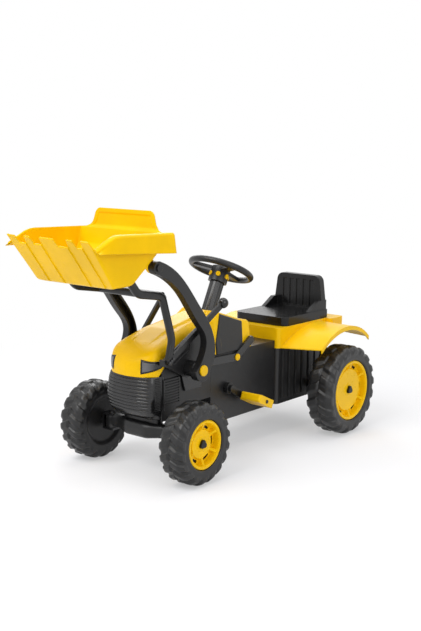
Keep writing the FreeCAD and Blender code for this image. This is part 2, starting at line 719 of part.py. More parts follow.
def steering_column():
    """Plastic column between the cowl and the wheel's hub, with a bearing at its top."""
    top = -STEER_HUB_DEPTH - SIDE_GAP
    low = shaft_low() * 0.45
    column = steer_rod(COLUMN_RADIUS, low, top)
    for index in range(4):
        rib = Part.makeBox(6, 8, top - low, Vector(COLUMN_RADIUS - 4, -4, low))
        rib.rotate(Vector(0, 0, 0), AXIS_Z, 90.0 * index + 45)
        column = column.fuse(steer_place(rib))
    column = column.cut(cowl_outer())
    column = column.cut(steer_rod(SHAFT_RADIUS + RUN_FIT, low, top + 1))
    column = column.cut(steer_rod(COLUMN_RADIUS - 5, low, top - 24))
    return max(column.Solids, key=lambda solid: solid.BoundBox.ZMax)


def steering_wheel():
    """Round wheel with three spokes and a deep hub."""
    wheel = Part.makeTorus(STEER_RIM_RADIUS, STEER_RIM_TUBE)
    top = STEER_RIM_TUBE * 0.6
    hub = Part.makeCylinder(STEER_HUB_RADIUS, STEER_HUB_DEPTH + top, Vector(0, 0, -STEER_HUB_DEPTH), AXIS_Z)
    hub = soften(hub, 3.0, lambda edge: edge.BoundBox.ZMin > top - 0.1)
    wheel = wheel.fuse(hub)
    for angle in (60, 180, 300):
        spoke = Part.makeBox(STEER_RIM_RADIUS - STEER_HUB_RADIUS + 6, 24, 10,
                             Vector(STEER_HUB_RADIUS - 6, -12, -7))
        spoke.rotate(Vector(0, 0, 0), AXIS_Z, angle)
        wheel = wheel.fuse(spoke)
    wheel = wheel.cut(Part.makeCylinder(HORN_RADIUS + SIDE_GAP, 2 * HORN_RECESS,
                                        Vector(0, 0, top - HORN_RECESS), AXIS_Z))
    socket = Part.makeCylinder(SHAFT_RADIUS + SEAT_FIT, STEER_HUB_DEPTH - SHAFT_STOP,
                               Vector(0, 0, -STEER_HUB_DEPTH), AXIS_Z)
    wheel = wheel.cut(socket)
    for index in range(PLUG_COUNT):
        wheel = wheel.cut(plug_solid(index, SEAT_FIT))
    return steer_place(wheel.removeSplitter())


def plug_solid(index, gap):
    """Small round cap let into the hub's side."""
    start = Vector(STEER_HUB_RADIUS - 4 - gap, 0, -STEER_HUB_DEPTH * 0.5)
    plug = Part.makeCylinder(PLUG_RADIUS + gap, 6 + 2 * gap, start, AXIS_X)
    plug.rotate(Vector(0, 0, 0), AXIS_Z, 360.0 / PLUG_COUNT * (index + 0.5))
    return plug


def hub_plugs():
    """Yellow plugs round the steering wheel's hub."""
    return Part.makeCompound([steer_place(plug_solid(index, 0.0)) for index in range(PLUG_COUNT)])


def horn_button():
    """Push button in the middle of the wheel, standing proud by its travel."""
    floor = STEER_RIM_TUBE * 0.6 - HORN_RECESS
    button = Part.makeCylinder(HORN_RADIUS, HORN_RECESS, Vector(0, 0, floor + HORN_TRAVEL + SIDE_GAP),
                               AXIS_Z)
    button = soften(button, 2.5, lambda edge: edge.BoundBox.ZMin > floor + HORN_RECESS)
    return steer_place(button)


def steering_shaft():
    """Steel shaft with an arm and a pin at its foot that push the tie rod sideways."""
    foot = shaft_low()
    drop = (PITMAN_HEIGHT - tie_rod_low()) / math.cos(math.radians(STEER_TILT))
    arm = Part.makeBox(PITMAN_RADIUS, 14, 7, Vector(-PITMAN_RADIUS, -7, foot))
    arm = arm.fuse(Part.makeCylinder(9, 7, Vector(0, 0, foot), AXIS_Z))
    arm = arm.fuse(Part.makeCylinder(8, 7, Vector(-PITMAN_RADIUS, 0, foot), AXIS_Z))
    arm = arm.fuse(Part.makeCylinder(STEER_PIN, drop + 7, Vector(-PITMAN_RADIUS, 0, foot - drop), AXIS_Z))
    arm = arm.fuse(Part.makeCylinder(SHAFT_RADIUS, -foot - SHAFT_STOP, Vector(0, 0, foot), AXIS_Z))
    return steer_place(arm.removeSplitter())


def tie_rod_low():
    """Underside of the tie rod, which slides on the knuckle arms."""
    return BEAM_BOTTOM - MOVE_GAP + SLIDE_GAP


def tie_rod_x():
    """Line of the tie rod's cross bar, behind the front axle."""
    return WHEELBASE - STEER_ARM


def tie_rod():
    """Flat T: a cross bar between the knuckle arms and a tail to the steering arm's pin, with slots."""
    x = tie_rod_x()
    low = tie_rod_low()
    high = low + TIE_ROD_THICK
    tilt = math.radians(STEER_TILT)
    pin = STEER_PIN / math.cos(tilt) + MOVE_GAP
    rear = pitman_x(high) - pin
    front = pitman_x(low) + PITMAN_RADIUS * (1 - math.cos(math.radians(STEER_RANGE))) / math.cos(tilt) + pin
    reach = STEER_ARM * (1 - math.cos(math.radians(KNUCKLE_RANGE))) + STEER_PIN + MOVE_GAP
    end = KINGPIN_Y + STEER_PIN + 9
    bar = block(x - STEER_PIN - 8, x + reach + 6, -end, end, low, high)
    bar = soften(bar, 4.0, lambda edge: along(edge, AXIS_Z))
    width = STEER_PIN + SLOT_PLAY
    bar = bar.fuse(block(rear - 8, x, -width - 8, width + 8, low, high))
    bar = bar.cut(block(rear, front, -width, width, low - 1, high + 1))
    for side in (LEFT, RIGHT):
        y = side * KINGPIN_Y
        bar = bar.cut(block(x - STEER_PIN - MOVE_GAP, x + reach, y - width, y + width, low - 1, high + 1))
    return bar.removeSplitter()


def knuckle():
    """Left steering knuckle: yoke round the beam's end, kingpin, stub axle and arm."""
    top = BEAM_TOP + MOVE_GAP
    low = BEAM_BOTTOM - MOVE_GAP
    sole = low - KNUCKLE_PLATE
    wall = KINGPIN_Y + KNUCKLE_BOSS + MOVE_GAP
    half = KNUCKLE_BOSS * 0.8
    upper = block(WHEELBASE - half, WHEELBASE + half, KINGPIN_Y - half, wall + KNUCKLE_PLATE, top,
                  top + KNUCKLE_PLATE)
    lower = block(WHEELBASE - half, WHEELBASE + half, KINGPIN_Y - half, wall + KNUCKLE_PLATE, sole, low)
    web = block(WHEELBASE - half, WHEELBASE + half, wall, wall + KNUCKLE_PLATE, sole, top + KNUCKLE_PLATE)
    arm = block(tie_rod_x(), WHEELBASE, KINGPIN_Y - 8, KINGPIN_Y + 8, sole, low)
    arm = arm.fuse(rod_z(tie_rod_x(), KINGPIN_Y, 8, sole, low))
    pin = rod_z(tie_rod_x(), KINGPIN_Y, STEER_PIN, sole, tie_rod_low() + TIE_ROD_THICK + 3)
    kingpin = rod_z(WHEELBASE, KINGPIN_Y, KINGPIN_RADIUS, sole - 3, top + KNUCKLE_PLATE + 3)
    stub = rod_y(WHEELBASE, FRONT_RADIUS, AXLE_RADIUS, wall, axle_reach(FRONT_HALF_TRACK, FRONT_WIDTH))
    washer = rod_y(WHEELBASE, FRONT_RADIUS, AXLE_RADIUS + 5, wall,
                   FRONT_HALF_TRACK - FRONT_WIDTH / 2 + INNER_DISC_INSET - SIDE_GAP)
    return upper.fuse([lower, web, arm, pin, kingpin, stub, washer]).removeSplitter()


def front_axle_beam():
    """Moulded beam under the nose with a boss for each kingpin."""
    saddle = ENGINE_FLOOR - CHIN_HEIGHT - SEAT_FIT
    middle = block(WHEELBASE - BEAM_BACK, WHEELBASE + BEAM_FRONT, -BEAM_MIDDLE_HALF, BEAM_MIDDLE_HALF,
                   BEAM_BOTTOM,
                   saddle)
    middle = soften(middle, BEAM_CORNER, lambda edge: along(edge, AXIS_Z) or along(edge, AXIS_Y))
    neck = block(WHEELBASE - BEAM_NECK, min(WHEELBASE + BEAM_NECK, NOSE_BACK), -BEAM_NECK_HALF,
                 BEAM_NECK_HALF,
                 BEAM_BOTTOM + BEAM_CORNER, ENGINE_FLOOR)
    arms = block(WHEELBASE - KNUCKLE_BOSS * 0.8, WHEELBASE + KNUCKLE_BOSS * 0.8, -KINGPIN_Y, KINGPIN_Y,
                 BEAM_BOTTOM,
                 BEAM_TOP)
    beam = middle.fuse([neck, arms])
    for side in (LEFT, RIGHT):
        beam = beam.fuse(rod_z(WHEELBASE, side * KINGPIN_Y, KNUCKLE_BOSS, BEAM_BOTTOM, BEAM_TOP))
    for side in (LEFT, RIGHT):
        beam = beam.cut(rod_z(WHEELBASE, side * KINGPIN_Y, KINGPIN_RADIUS + RUN_FIT, 0, 2 * BEAM_TOP))
    return beam.removeSplitter()


# Seat: yellow base with fenders, and a black seat screwed on top
def fender_ring(points, y, thick):
    """Closed strip outline in one upright plane: a smooth top edge and the same edge lower down."""
    tops = [Vector(x, y, z) for x, z in points]
    lows = [Vector(x, y, z - thick) for x, z in points]
    upper = Part.BSplineCurve()
    upper.interpolate(tops)
    lower = Part.BSplineCurve()
    lower.interpolate(list(reversed(lows)))
    front = Part.LineSegment(tops[-1], lows[-1])
    back = Part.LineSegment(lows[0], tops[0])
    return Part.Wire([curve.toShape() for curve in (upper, front, lower, back)])


def fender():
    """Left fender: a thin strip arched over the wheel, swept back at its front edge, with an outer lip."""
    front = (REAR_BODY_FRONT - FENDER_INNER_FRONT, FENDER_INNER_RISE)
    inner = [(x, REAR_RADIUS + rise) for x, rise in FENDER_INNER + (front,)]
    outer = [(x, REAR_RADIUS + rise) for x, rise in FENDER_OUTER]
    root = SEAT_BASE_HALF - FENDER_WALL
    strip = loft([fender_ring(inner, root, FENDER_WALL), fender_ring(outer, FENDER_EDGE, FENDER_WALL)])
    hem = [(x, z - FENDER_WALL / 2) for x, z in outer]
    lip = loft([fender_ring(hem, FENDER_EDGE - FENDER_WALL, FENDER_LIP),
                fender_ring(hem, FENDER_EDGE, FENDER_LIP)])
    return strip.fuse(lip)


def seat_base():
    """Yellow seat box with a block behind the seat and a fender over each rear wheel."""
    low = REAR_BODY_TOP
    base = block(SEAT_BASE_BACK, REAR_BODY_FRONT, -SEAT_BASE_HALF, SEAT_BASE_HALF, low, SEAT_BASE_TOP)
    base = soften(base, BOX_CORNER, lambda edge: along(edge, AXIS_Z))
    rear = block(SEAT_BASE_BACK - REAR_BLOCK_OVERHANG, REAR_BLOCK_FRONT, -REAR_BLOCK_HALF, REAR_BLOCK_HALF,
                 low + REAR_BLOCK_RISE, SEAT_BASE_TOP)
    rear = soften(rear, BOX_CORNER, lambda edge: along(edge, AXIS_Z))
    form = base.fuse(rear).fuse(fender()).fuse(mirrored(fender()))
    room = block(SEAT_BASE_BACK + WALL, REAR_BODY_FRONT - WALL, -SEAT_BASE_HALF + WALL,
                 SEAT_BASE_HALF - WALL,
                 low - 1, SEAT_BASE_TOP - WALL)
    room = soften(room, BOX_CORNER - WALL, lambda edge: along(edge, AXIS_Z))
    form = form.cut(room)
    for x, y in seat_screw_places():
        form = form.cut(rod_z(x, y, BOLT_RADIUS / 2 + SEAT_FIT, low, SEAT_BASE_TOP + 1))
    return form.removeSplitter()


def seat_back_outline(half, top_half, low, high, x):
    """Upright outline of the seat back, narrower at its top."""
    points = [(-half, low), (half, low), (top_half, high), (-top_half, high)]
    wire = Part.makePolygon([Vector(x, y, z) for y, z in points + points[:1]])
    return Part.Face(wire)


def seat():
    """Black one-piece seat with side rolls and an upright, fluted back."""
    low = SEAT_BASE_TOP
    high = low + SEAT_BACK_HEIGHT
    pan = block(SEAT_BACK, SEAT_FRONT, -SEAT_HALF, SEAT_HALF, low, low + SEAT_PAN)
    pan = soften(pan, SEAT_FRONT_CORNER, lambda edge: along(edge, AXIS_Z) and edge.BoundBox.XMin > 0)
    back = seat_back_outline(SEAT_HALF, SEAT_TOP_HALF, low, high, SEAT_BACK)
    back = back.extrude(Vector(SEAT_BACK_THICK, 0, 0))
    back = soften(back, SEAT_TOP_CORNER,
                  lambda edge: along(edge, AXIS_X) and edge.BoundBox.ZMin > high - 0.1)
    body = pan.fuse(back)
    crest = low + SEAT_PAN + SEAT_ROLL_HEIGHT
    out = SEAT_HALF - SEAT_ROLL_INSET
    roll = prism_y([(SEAT_BACK, low), (SEAT_BACK + SEAT_ROLL_LENGTH, low),
                    (SEAT_BACK + SEAT_ROLL_LENGTH, low + SEAT_PAN), (SEAT_BACK + SEAT_ROLL_FLAT, crest),
                    (SEAT_BACK, crest)], out - SEAT_ROLL_WIDTH, out)
    body = body.fuse(roll).fuse(mirrored(roll))
    pitch = 2 * (SEAT_TOP_HALF - FLUTE_MARGIN) / SEAT_FLUTES
    front = SEAT_BACK + SEAT_BACK_THICK
    for index in range(SEAT_FLUTES):
        y = -SEAT_TOP_HALF + FLUTE_MARGIN + pitch * (index + 0.5)
        for x in (SEAT_BACK, front):
            body = body.cut(block(x - FLUTE_DEPTH, x + FLUTE_DEPTH, y - pitch * 0.3, y + pitch * 0.3,
                                  low + SEAT_PAN + 2 * WALL, high - FLUTE_MARGIN))
    hollow = SEAT_HALF - SEAT_FRONT_CORNER
    body = body.cut(block(front + WALL, SEAT_FRONT - 2 * WALL, -hollow, hollow, low - 1,
                          low + SEAT_PAN - 2 * WALL))
    for x, y in seat_screw_places():
        body = body.fuse(rod_z(x, y, 9, low, low + SEAT_PAN - WALL))
        body = body.cut(rod_z(x, y, BOLT_RADIUS / 2 + SEAT_FIT, low - 1, low + SEAT_PAN - 3 * WALL))
    return body.removeSplitter()


def seat_screw_places():
    """Where the four seat screws stand."""
    span = SEAT_FRONT - SEAT_BACK
    return [(SEAT_BACK + share * span, 0.5 * SEAT_HALF * side) for share in (0.3, 0.8) for side in (-1, 1)]


def seat_screws():
    """Four screws that hold the seat to its box from below."""
    screws = []
    for x, y in seat_screw_places():
        head = rod_z(x, y, BOLT_RADIUS, SEAT_BASE_TOP - WALL - 3, SEAT_BASE_TOP - WALL)
        screws.append(head.fuse(rod_z(x, y, BOLT_RADIUS / 2, SEAT_BASE_TOP - WALL - 3, SEAT_BASE_TOP + 12)))
    return Part.makeCompound(screws)


# Pedal drive: crank, chain and rear axle
def crank_point(side):
    """Centre of a pedal pin; the right pin stands opposite the left one."""
    angle = math.radians(CRANK_REST + (0 if side == LEFT else 180))
    return CRANK_X + CRANK_LENGTH * math.cos(angle), CRANK_Z + CRANK_LENGTH * math.sin(angle)


def crank():
    """Bent steel crank: through shaft, two arms and two pedal pins."""
    inner = CRANK_ARM_INNER
    shaft = rod_y(CRANK_X, CRANK_Z, CRANK_RADIUS, -inner - 1, inner + 1)
    for side in (LEFT, RIGHT):
        x, z = crank_point(side)
        arm = bar_y([(CRANK_X, CRANK_Z), (x, z)], 20, inner, inner + CRANK_ARM)
        pin = rod_y(x, z, PEDAL_PIN, inner + CRANK_ARM - 1, pedal_inner() + PEDAL_WIDTH + 2)
        shaft = shaft.fuse(for_side(arm, side)).fuse(for_side(pin, side))
    return shaft.removeSplitter()


def pedal_inner():
    """Inner face of a pedal."""
    return CRANK_ARM_INNER + CRANK_ARM + PEDAL_GAP


def pedal(side):
    """Yellow ribbed pedal on its pin."""
    inner = pedal_inner()
    form = block(-PEDAL_LENGTH / 2, PEDAL_LENGTH / 2, inner, inner + PEDAL_WIDTH, -PEDAL_THICK / 2,
                 PEDAL_THICK / 2)
    form = soften(form, 7.0, lambda edge: along(edge, AXIS_Y) or along(edge, AXIS_Z))
    for index in range(-2, 3):
        x = index * PEDAL_LENGTH / 6
        for z in (-PEDAL_THICK / 2, PEDAL_THICK / 2):
            form = form.cut(block(x - 2.5, x + 2.5, inner + 8, inner + PEDAL_WIDTH - 8, z - 1.5, z + 1.5))
    form = form.cut(rod_y(0, 0, PEDAL_PIN + RUN_FIT, 0, 2 * inner + PEDAL_WIDTH))
    form.rotate(Vector(0, 0, 0), AXIS_Y, -PEDAL_TILT)
    x, z = crank_point(side)
    form.translate(Vector(x, 0, z))
    return for_side(form, side)


def tip_radius(teeth):
    """Tip of a chain wheel's teeth."""
    return CHAIN_PITCH / (2 * math.sin(math.pi / teeth)) + 2.0


def chain_wheel(x, z, teeth, bore):
    """Flat toothed chain wheel with a hub."""
    tip = tip_radius(teeth)
    points = []
    for index in range(teeth):
        for share, radius in ((-0.30, tip - 5), (-0.10, tip), (0.10, tip), (0.30, tip - 5)):
            angle = 2 * math.pi * (index + share) / teeth
            points.append((x + radius * math.cos(angle), z + radius * math.sin(angle)))
    wheel = prism_y(points, CHAIN_Y - SPROCKET_THICK / 2, CHAIN_Y + SPROCKET_THICK / 2)
    wheel = wheel.fuse(rod_y(x, z, bore + 9, CHAIN_Y - 10, CHAIN_Y + 10))
    return wheel.cut(rod_y(x, z, bore + SEAT_FIT, CHAIN_Y - 20, CHAIN_Y + 20))


def loop_solid(front_radius, rear_radius, y0, y1):
    """Solid inside a loop drawn tight round the two chain wheels."""
    dx = CRANK_X
    dz = CRANK_Z - REAR_RADIUS
    span = math.hypot(dx, dz)
    base = math.atan2(dz, dx)
    lean = math.acos((rear_radius - front_radius) / span)
    points = []
    for sign in (1, -1):
        angle = base + sign * lean
        ring = ((0, REAR_RADIUS, rear_radius), (CRANK_X, CRANK_Z, front_radius))
        for x, z, radius in ring if sign == 1 else reversed(ring):
            points.append((x + radius * math.cos(angle), z + radius * math.sin(angle)))
    loop = prism_y(points, y0, y1)
    loop = loop.fuse(rod_y(0, REAR_RADIUS, rear_radius, y0, y1))
    return loop.fuse(rod_y(CRANK_X, CRANK_Z, front_radius, y0, y1)).removeSplitter()


def chain():
    """Roller chain as one closed band round both chain wheels."""
    front = tip_radius(CRANK_TEETH) + SIDE_GAP
    rear = tip_radius(REAR_TEETH) + SIDE_GAP
    y0 = CHAIN_Y - CHAIN_WIDTH / 2
    outer = loop_solid(front + CHAIN_HEIGHT, rear + CHAIN_HEIGHT, y0, y0 + CHAIN_WIDTH)
    return outer.cut(loop_solid(front, rear, y0 - 1, y0 + CHAIN_WIDTH + 1))


def rear_axle():
    """Steel rear axle from hub cap to hub cap."""
    reach = axle_reach(REAR_HALF_TRACK, REAR_WIDTH)
    return rod_y(0, REAR_RADIUS, AXLE_RADIUS, -reach, reach)


def drive_bushes():
    """Flanged bushes for the crank, and long spacer bushes for the rear axle."""
    inner = REAR_BODY_HALF - WALL - 4
    hub = REAR_HALF_TRACK - REAR_WIDTH / 2 + INNER_DISC_INSET - SIDE_GAP
    axle = rod_y(0, REAR_RADIUS, bush_radius(AXLE_RADIUS) - SEAT_FIT, inner, hub)
    axle = axle.fuse(rod_y(0, REAR_RADIUS, bush_radius(AXLE_RADIUS) + 5, REAR_BODY_HALF,
                           REAR_BODY_HALF + 5))
    axle = axle.cut(rod_y(0, REAR_RADIUS, AXLE_RADIUS + RUN_FIT, 0, 2 * hub))
    wall = BODY_HALF
    pedal_bush = rod_y(CRANK_X, CRANK_Z, bush_radius(CRANK_RADIUS) - SEAT_FIT, wall - WALL - 5, wall)
    pedal_bush = pedal_bush.fuse(rod_y(CRANK_X, CRANK_Z, bush_radius(CRANK_RADIUS) + 4, wall,
                                       CRANK_ARM_INNER - SIDE_GAP))
    pedal_bush = pedal_bush.cut(rod_y(CRANK_X, CRANK_Z, CRANK_RADIUS + RUN_FIT, 0, 2 * wall))
    return Part.makeCompound([axle, mirrored(axle), pedal_bush, mirrored(pedal_bush)])


# Loader: mounts on the body, lift arms, tilt frame and bucket
def loader_rail(height):
    """Left rail of the loader mount, from the arm pivot back to the cowl."""
    route = [(PIVOT_X, PIVOT_Z), (RAIL_X, RAIL_Z), (RAIL_END_X, RAIL_END_Z)]
    return bar_y(route, height, BODY_HALF, BODY_HALF + MOUNT_PLATE)


def loader_mount():
    """Left mount, flat on the body's side: boss for the arm pivot and a rail back to the cowl."""
    face = BODY_HALF
    out = face + MOUNT_PLATE
    rail = loader_rail(RAIL_HEIGHT)
    boss = rod_y(PIVOT_X, PIVOT_Z, PIVOT_BOSS, face, out)
    low = PIVOT_Z - MOUNT_FOOT_DROP
    back = PIVOT_X - MOUNT_FOOT_LENGTH
    plate = prism_y([(back, low), (PIVOT_X, low), (PIVOT_X + PIVOT_BOSS, PIVOT_Z), (back, PIVOT_Z)], face,
                    out - WALL)
    mount = rail.fuse([boss, plate])
    mount = mount.cut(rod_y(PIVOT_X, PIVOT_Z, PIVOT_RADIUS + RUN_FIT, 0, 2 * ARM_INNER))
    return mount.removeSplitter()


def mount_cap():
    """Yellow cap over the left rail's bolt."""
    seat_y = BODY_HALF + MOUNT_PLATE
    cap = rod_y(RAIL_X, RAIL_Z, RAIL_CAP, seat_y, seat_y + 4)
    return soften(cap, 1.5, lambda edge: edge.BoundBox.YMin > seat_y + 3.9)


def arm_edge(points):
    """Smooth edge of a lift arm through points in the XZ plane."""
    curve = Part.BSplineCurve()
    curve.interpolate([Vector(x, 0, z) for x, z in points])
    return curve.toShape()


def from_place(x, z, offset, dx, dz):
    """A point of an arm's outline: an offset from a place, moved by the inset."""
    return (x + offset[0] + dx, z + offset[1] + dz)


def arm_outline(inset):
    """Side outline of a lift arm: broad foot round the pivot, a knee, then a gooseneck to the tip."""
    lean = math.radians(ARM_TIP_LEAN)
    half = TIP_RADIUS - inset
    across = (-math.sin(lean) * half, math.cos(lean) * half)
    back_tip = (TIP_X + across[0], TIP_Z + across[1])
    front_tip = (TIP_X - across[0], TIP_Z - across[1])
    heel = (PIVOT_X - ARM_HUB + inset, PIVOT_Z)
    toe = (PIVOT_X + ARM_HUB - inset, PIVOT_Z)
    back = [heel, from_place(PIVOT_X, PIVOT_Z, ARM_SHIN, inset, 0),
            from_place(PIVOT_X, PIVOT_Z, ARM_KNEE_BACK, inset, 0),
            from_place(PIVOT_X, PIVOT_Z, ARM_THIGH_BACK, inset, -inset),
            from_place(TIP_X, TIP_Z, ARM_NECK_BACK, inset / 2, -inset), back_tip]
    front = [front_tip, from_place(TIP_X, TIP_Z, ARM_NECK_FRONT, -inset / 2, inset),
             from_place(PIVOT_X, PIVOT_Z, ARM_THIGH_FRONT, -inset, inset / 2),
             from_place(PIVOT_X, PIVOT_Z, ARM_KNEE_FRONT, -inset, 0),
             from_place(PIVOT_X, PIVOT_Z, ARM_SHIN_FRONT, -inset, 0), toe]
    nose = Vector(TIP_X + half * math.cos(lean), 0, TIP_Z + half * math.sin(lean))
    sole = Vector(PIVOT_X, 0, PIVOT_Z - ARM_HUB + inset)
    end = Part.Arc(Vector(back_tip[0], 0, back_tip[1]), nose, Vector(front_tip[0], 0, front_tip[1]))
    foot = Part.Arc(Vector(toe[0], 0, toe[1]), sole, Vector(heel[0], 0, heel[1]))
    return Part.Wire([arm_edge(back), end.toShape(), arm_edge(front), foot.toShape()])


def lift_arm(side):
    """Lift arm with a recessed web on its inner face and a long boss at the pivot."""
    face = Part.Face(arm_outline(0.0))
    face.translate(Vector(0, ARM_INNER, 0))
    arm = face.extrude(Vector(0, ARM_THICK, 0))
    pocket = Part.Face(arm_outline(ARM_WALL))
    pocket.translate(Vector(0, ARM_INNER - 1, 0))
    pocket = pocket.extrude(Vector(0, ARM_THICK - ARM_WALL + 1, 0))
    keep = rod_y(PIVOT_X, PIVOT_Z, ARM_HUB, 0, 2 * ARM_INNER)
    keep = keep.fuse(rod_y(TIP_X, TIP_Z, TIP_RADIUS, 0, 2 * ARM_INNER))
    arm = arm.cut(pocket.cut(keep))
    arm = arm.fuse(rod_y(PIVOT_X, PIVOT_Z, PIVOT_BOSS, SIDE_PLATE_INNER + SIDE_PLATE, ARM_INNER + 1))
    arm = arm.cut(rod_y(PIVOT_X, PIVOT_Z, PIVOT_RADIUS + SEAT_FIT, 0, 2 * ARM_INNER))
    arm = arm.cut(rod_y(TIP_X, TIP_Z, TIP_PIN + RUN_FIT, 0, 2 * ARM_INNER))
    return for_side(arm.removeSplitter(), side)


def side_plate(apex, top):
    """Triangular plate on the left arm's boss, with its front corner at apex."""
    corners = (apex, PLATE_FOOT, PLATE_HEEL, top)
    outline = [(PIVOT_X + x, PIVOT_Z + z) for x, z in corners]
    plate = prism_y(outline, SIDE_PLATE_INNER, SIDE_PLATE_INNER + SIDE_PLATE)
    plate = soften(plate, PANEL_CORNER, lambda edge: along(edge, AXIS_Y))
    plate = plate.cut(rod_y(PIVOT_X, PIVOT_Z, PIVOT_RADIUS + SEAT_FIT, 0, 2 * ARM_INNER))
    return plate.removeSplitter()


def rest_plate():
    """Left side plate with a long well; its front corner carries the rest for the tilt frame."""
    low = SIDE_PLATE_INNER
    out = low + SIDE_PLATE
    high = FRAME_INNER + FRAME_THICK * 0.6
    route = [(PIVOT_X + x, PIVOT_Z + z) for x, z in PLATE_WELL]
    well = bar_y(route, PLATE_WELL_WIDTH, out - SIDE_PLATE_RIM, out + 1)
    rest_x = CORNER_X + FRAME_BAR / 2 + SIDE_GAP
    rest = block(rest_x, rest_x + 6, low, high, CORNER_Z - 13, CORNER_Z + 4)
    return side_plate(PLATE_APEX, PLATE_TOP).cut(well).fuse(rest).removeSplitter()


def pivot_cap():
    """Round yellow cap over the left arm's pivot."""
    seat_y = ARM_INNER + ARM_THICK
    cap = rod_y(PIVOT_X, PIVOT_Z, PIVOT_CAP, seat_y, seat_y + PIVOT_CAP_THICK)
    return soften(cap, 2.0, lambda edge: edge.BoundBox.YMin > seat_y + PIVOT_CAP_THICK - 0.1)


def loader_shaft():
    """Steel shaft that ties both lift arms together through the engine box."""
    reach = ARM_INNER + ARM_THICK - SIDE_GAP
    return rod_y(PIVOT_X, PIVOT_Z, PIVOT_RADIUS, -reach, reach)


def lift_lever_middle():
    """Middle plane of the lift lever, on the right arm's boss."""
    return (SIDE_PLATE_INNER + SIDE_PLATE + ARM_INNER) / 2


def lift_lever():
    """Hand lever clamped round the right arm's boss."""
    y0 = lift_lever_middle() - LEVER_THICK / 2
    y1 = lift_lever_middle() + LEVER_THICK / 2
    lever = bar_y([(PIVOT_X, PIVOT_Z), (LIFT_KNOB_X, LIFT_KNOB_Z)], LEVER_BAR, y0, y1)
    lever = lever.fuse(rod_y(PIVOT_X, PIVOT_Z, PIVOT_BOSS + 8, y0, y1))
    lever = lever.cut(rod_y(PIVOT_X, PIVOT_Z, PIVOT_BOSS + SEAT_FIT, 0, 2 * ARM_INNER))
    lever = lever.cut(Part.makeSphere(KNOB_RADIUS + SEAT_FIT,
                                      Vector(LIFT_KNOB_X, lift_lever_middle(), LIFT_KNOB_Z)))
    return mirrored(lever.removeSplitter())


def lift_knob():
    """Ball on the lift lever."""
    return Part.makeSphere(KNOB_RADIUS, Vector(LIFT_KNOB_X, -lift_lever_middle(), LIFT_KNOB_Z))


def tilt_lever():
    """Hand lever lapped onto the foot of the tilt frame's leg."""
    out = FRAME_INNER + FRAME_THICK
    inner = out - LEVER_THICK
    lever = bar_y([(CORNER_X, CORNER_Z), (TILT_KNOB_X, TILT_KNOB_Z)], LEVER_BAR, inner, out)
    lever = lever.fuse(rod_y(CORNER_X, CORNER_Z, FRAME_BAR / 2, inner, out))
    lever = lever.cut(Part.makeSphere(KNOB_RADIUS + SEAT_FIT,
                                      Vector(TILT_KNOB_X, out - LEVER_THICK / 2, TILT_KNOB_Z)))
    for x, z in lever_bolt_places():
        lever = lever.cut(rod_y(x, z, BOLT_RADIUS / 2 + SEAT_FIT, 0, 2 * out))
    return lever.removeSplitter()


def tilt_knob():
    """Ball on the tilt lever."""
    y = FRAME_INNER + FRAME_THICK - LEVER_THICK / 2
    return Part.makeSphere(KNOB_RADIUS, Vector(TILT_KNOB_X, y, TILT_KNOB_Z))


def lever_bolt_places():
    """Three bolts along the lap of tilt lever and leg."""
    span = math.hypot(TILT_KNOB_X - CORNER_X, TILT_KNOB_Z - CORNER_Z)
    ux = (TILT_KNOB_X - CORNER_X) / span
    uz = (TILT_KNOB_Z - CORNER_Z) / span
    return [(CORNER_X + ux * reach, CORNER_Z + uz * reach) for reach in (-5.0, 3.0, 11.0)]


def lever_bolts():
    """Three bolts that join the tilt lever to the leg."""
    face = FRAME_INNER + FRAME_THICK
    bolts = []
    for x, z in lever_bolt_places():
        bolt = rod_y(x, z, BOLT_RADIUS, face, face + 3)
        bolts.append(bolt.fuse(rod_y(x, z, BOLT_RADIUS / 2, FRAME_INNER + 2, face + 1)))
    return Part.makeCompound(bolts)


def tilt_frame():
    """Black bent frame behind the bucket: two forward bars, a cross bar and a leg on the left."""
    inner = FRAME_INNER
    out = FRAME_INNER + FRAME_THICK
    forward = [(CROSS_X, CROSS_Z), (CROSS_X + 91, CROSS_Z + 15),
               (BUCKET_FLOOR_BACK - 10, BUCKET_FLOOR_Z + 26)]
    left = bar_y(forward, FRAME_BAR, inner, out)
    knee = (CORNER_X - 16, CORNER_Z + 55)
    leg = bar_y([(CROSS_X, CROSS_Z), knee, (CORNER_X, CORNER_Z)], FRAME_BAR, inner, out)
    cross = rod_y(CROSS_X, CROSS_Z, FRAME_BAR / 2, -inner, inner)
    frame = left.fuse([mirrored(left), leg, cross]).cut(bucket_tub(0.0))
    span = math.hypot(TILT_KNOB_X - CORNER_X, TILT_KNOB_Z - CORNER_Z)
    lap_x = CORNER_X + (TILT_KNOB_X - CORNER_X) / span * 40
    lap_z = CORNER_Z + (TILT_KNOB_Z - CORNER_Z) / span * 40
    lap = bar_y([(CORNER_X, CORNER_Z), (lap_x, lap_z)], LEVER_BAR + 2 * SEAT_FIT, out - LEVER_THICK,
                out + 1)
    lap = lap.fuse(rod_y(CORNER_X, CORNER_Z, FRAME_BAR / 2 + 2 * SEAT_FIT, out - LEVER_THICK, out + 1))
    frame = frame.cut(lap)
    for x, z in lever_bolt_places():
        frame = frame.cut(rod_y(x, z, BOLT_RADIUS / 2 + SEAT_FIT, inner + 1, 2 * out))
    return max(frame.removeSplitter().Solids, key=lambda solid: solid.Volume)


def bucket_ring(z, back, front, half):
    """Level four-cornered outline of the bucket."""
    corners = [Vector(back, -half, z), Vector(front, -half, z), Vector(front, half, z),
               Vector(back, half, z)]
    return Part.makePolygon(corners + corners[:1])


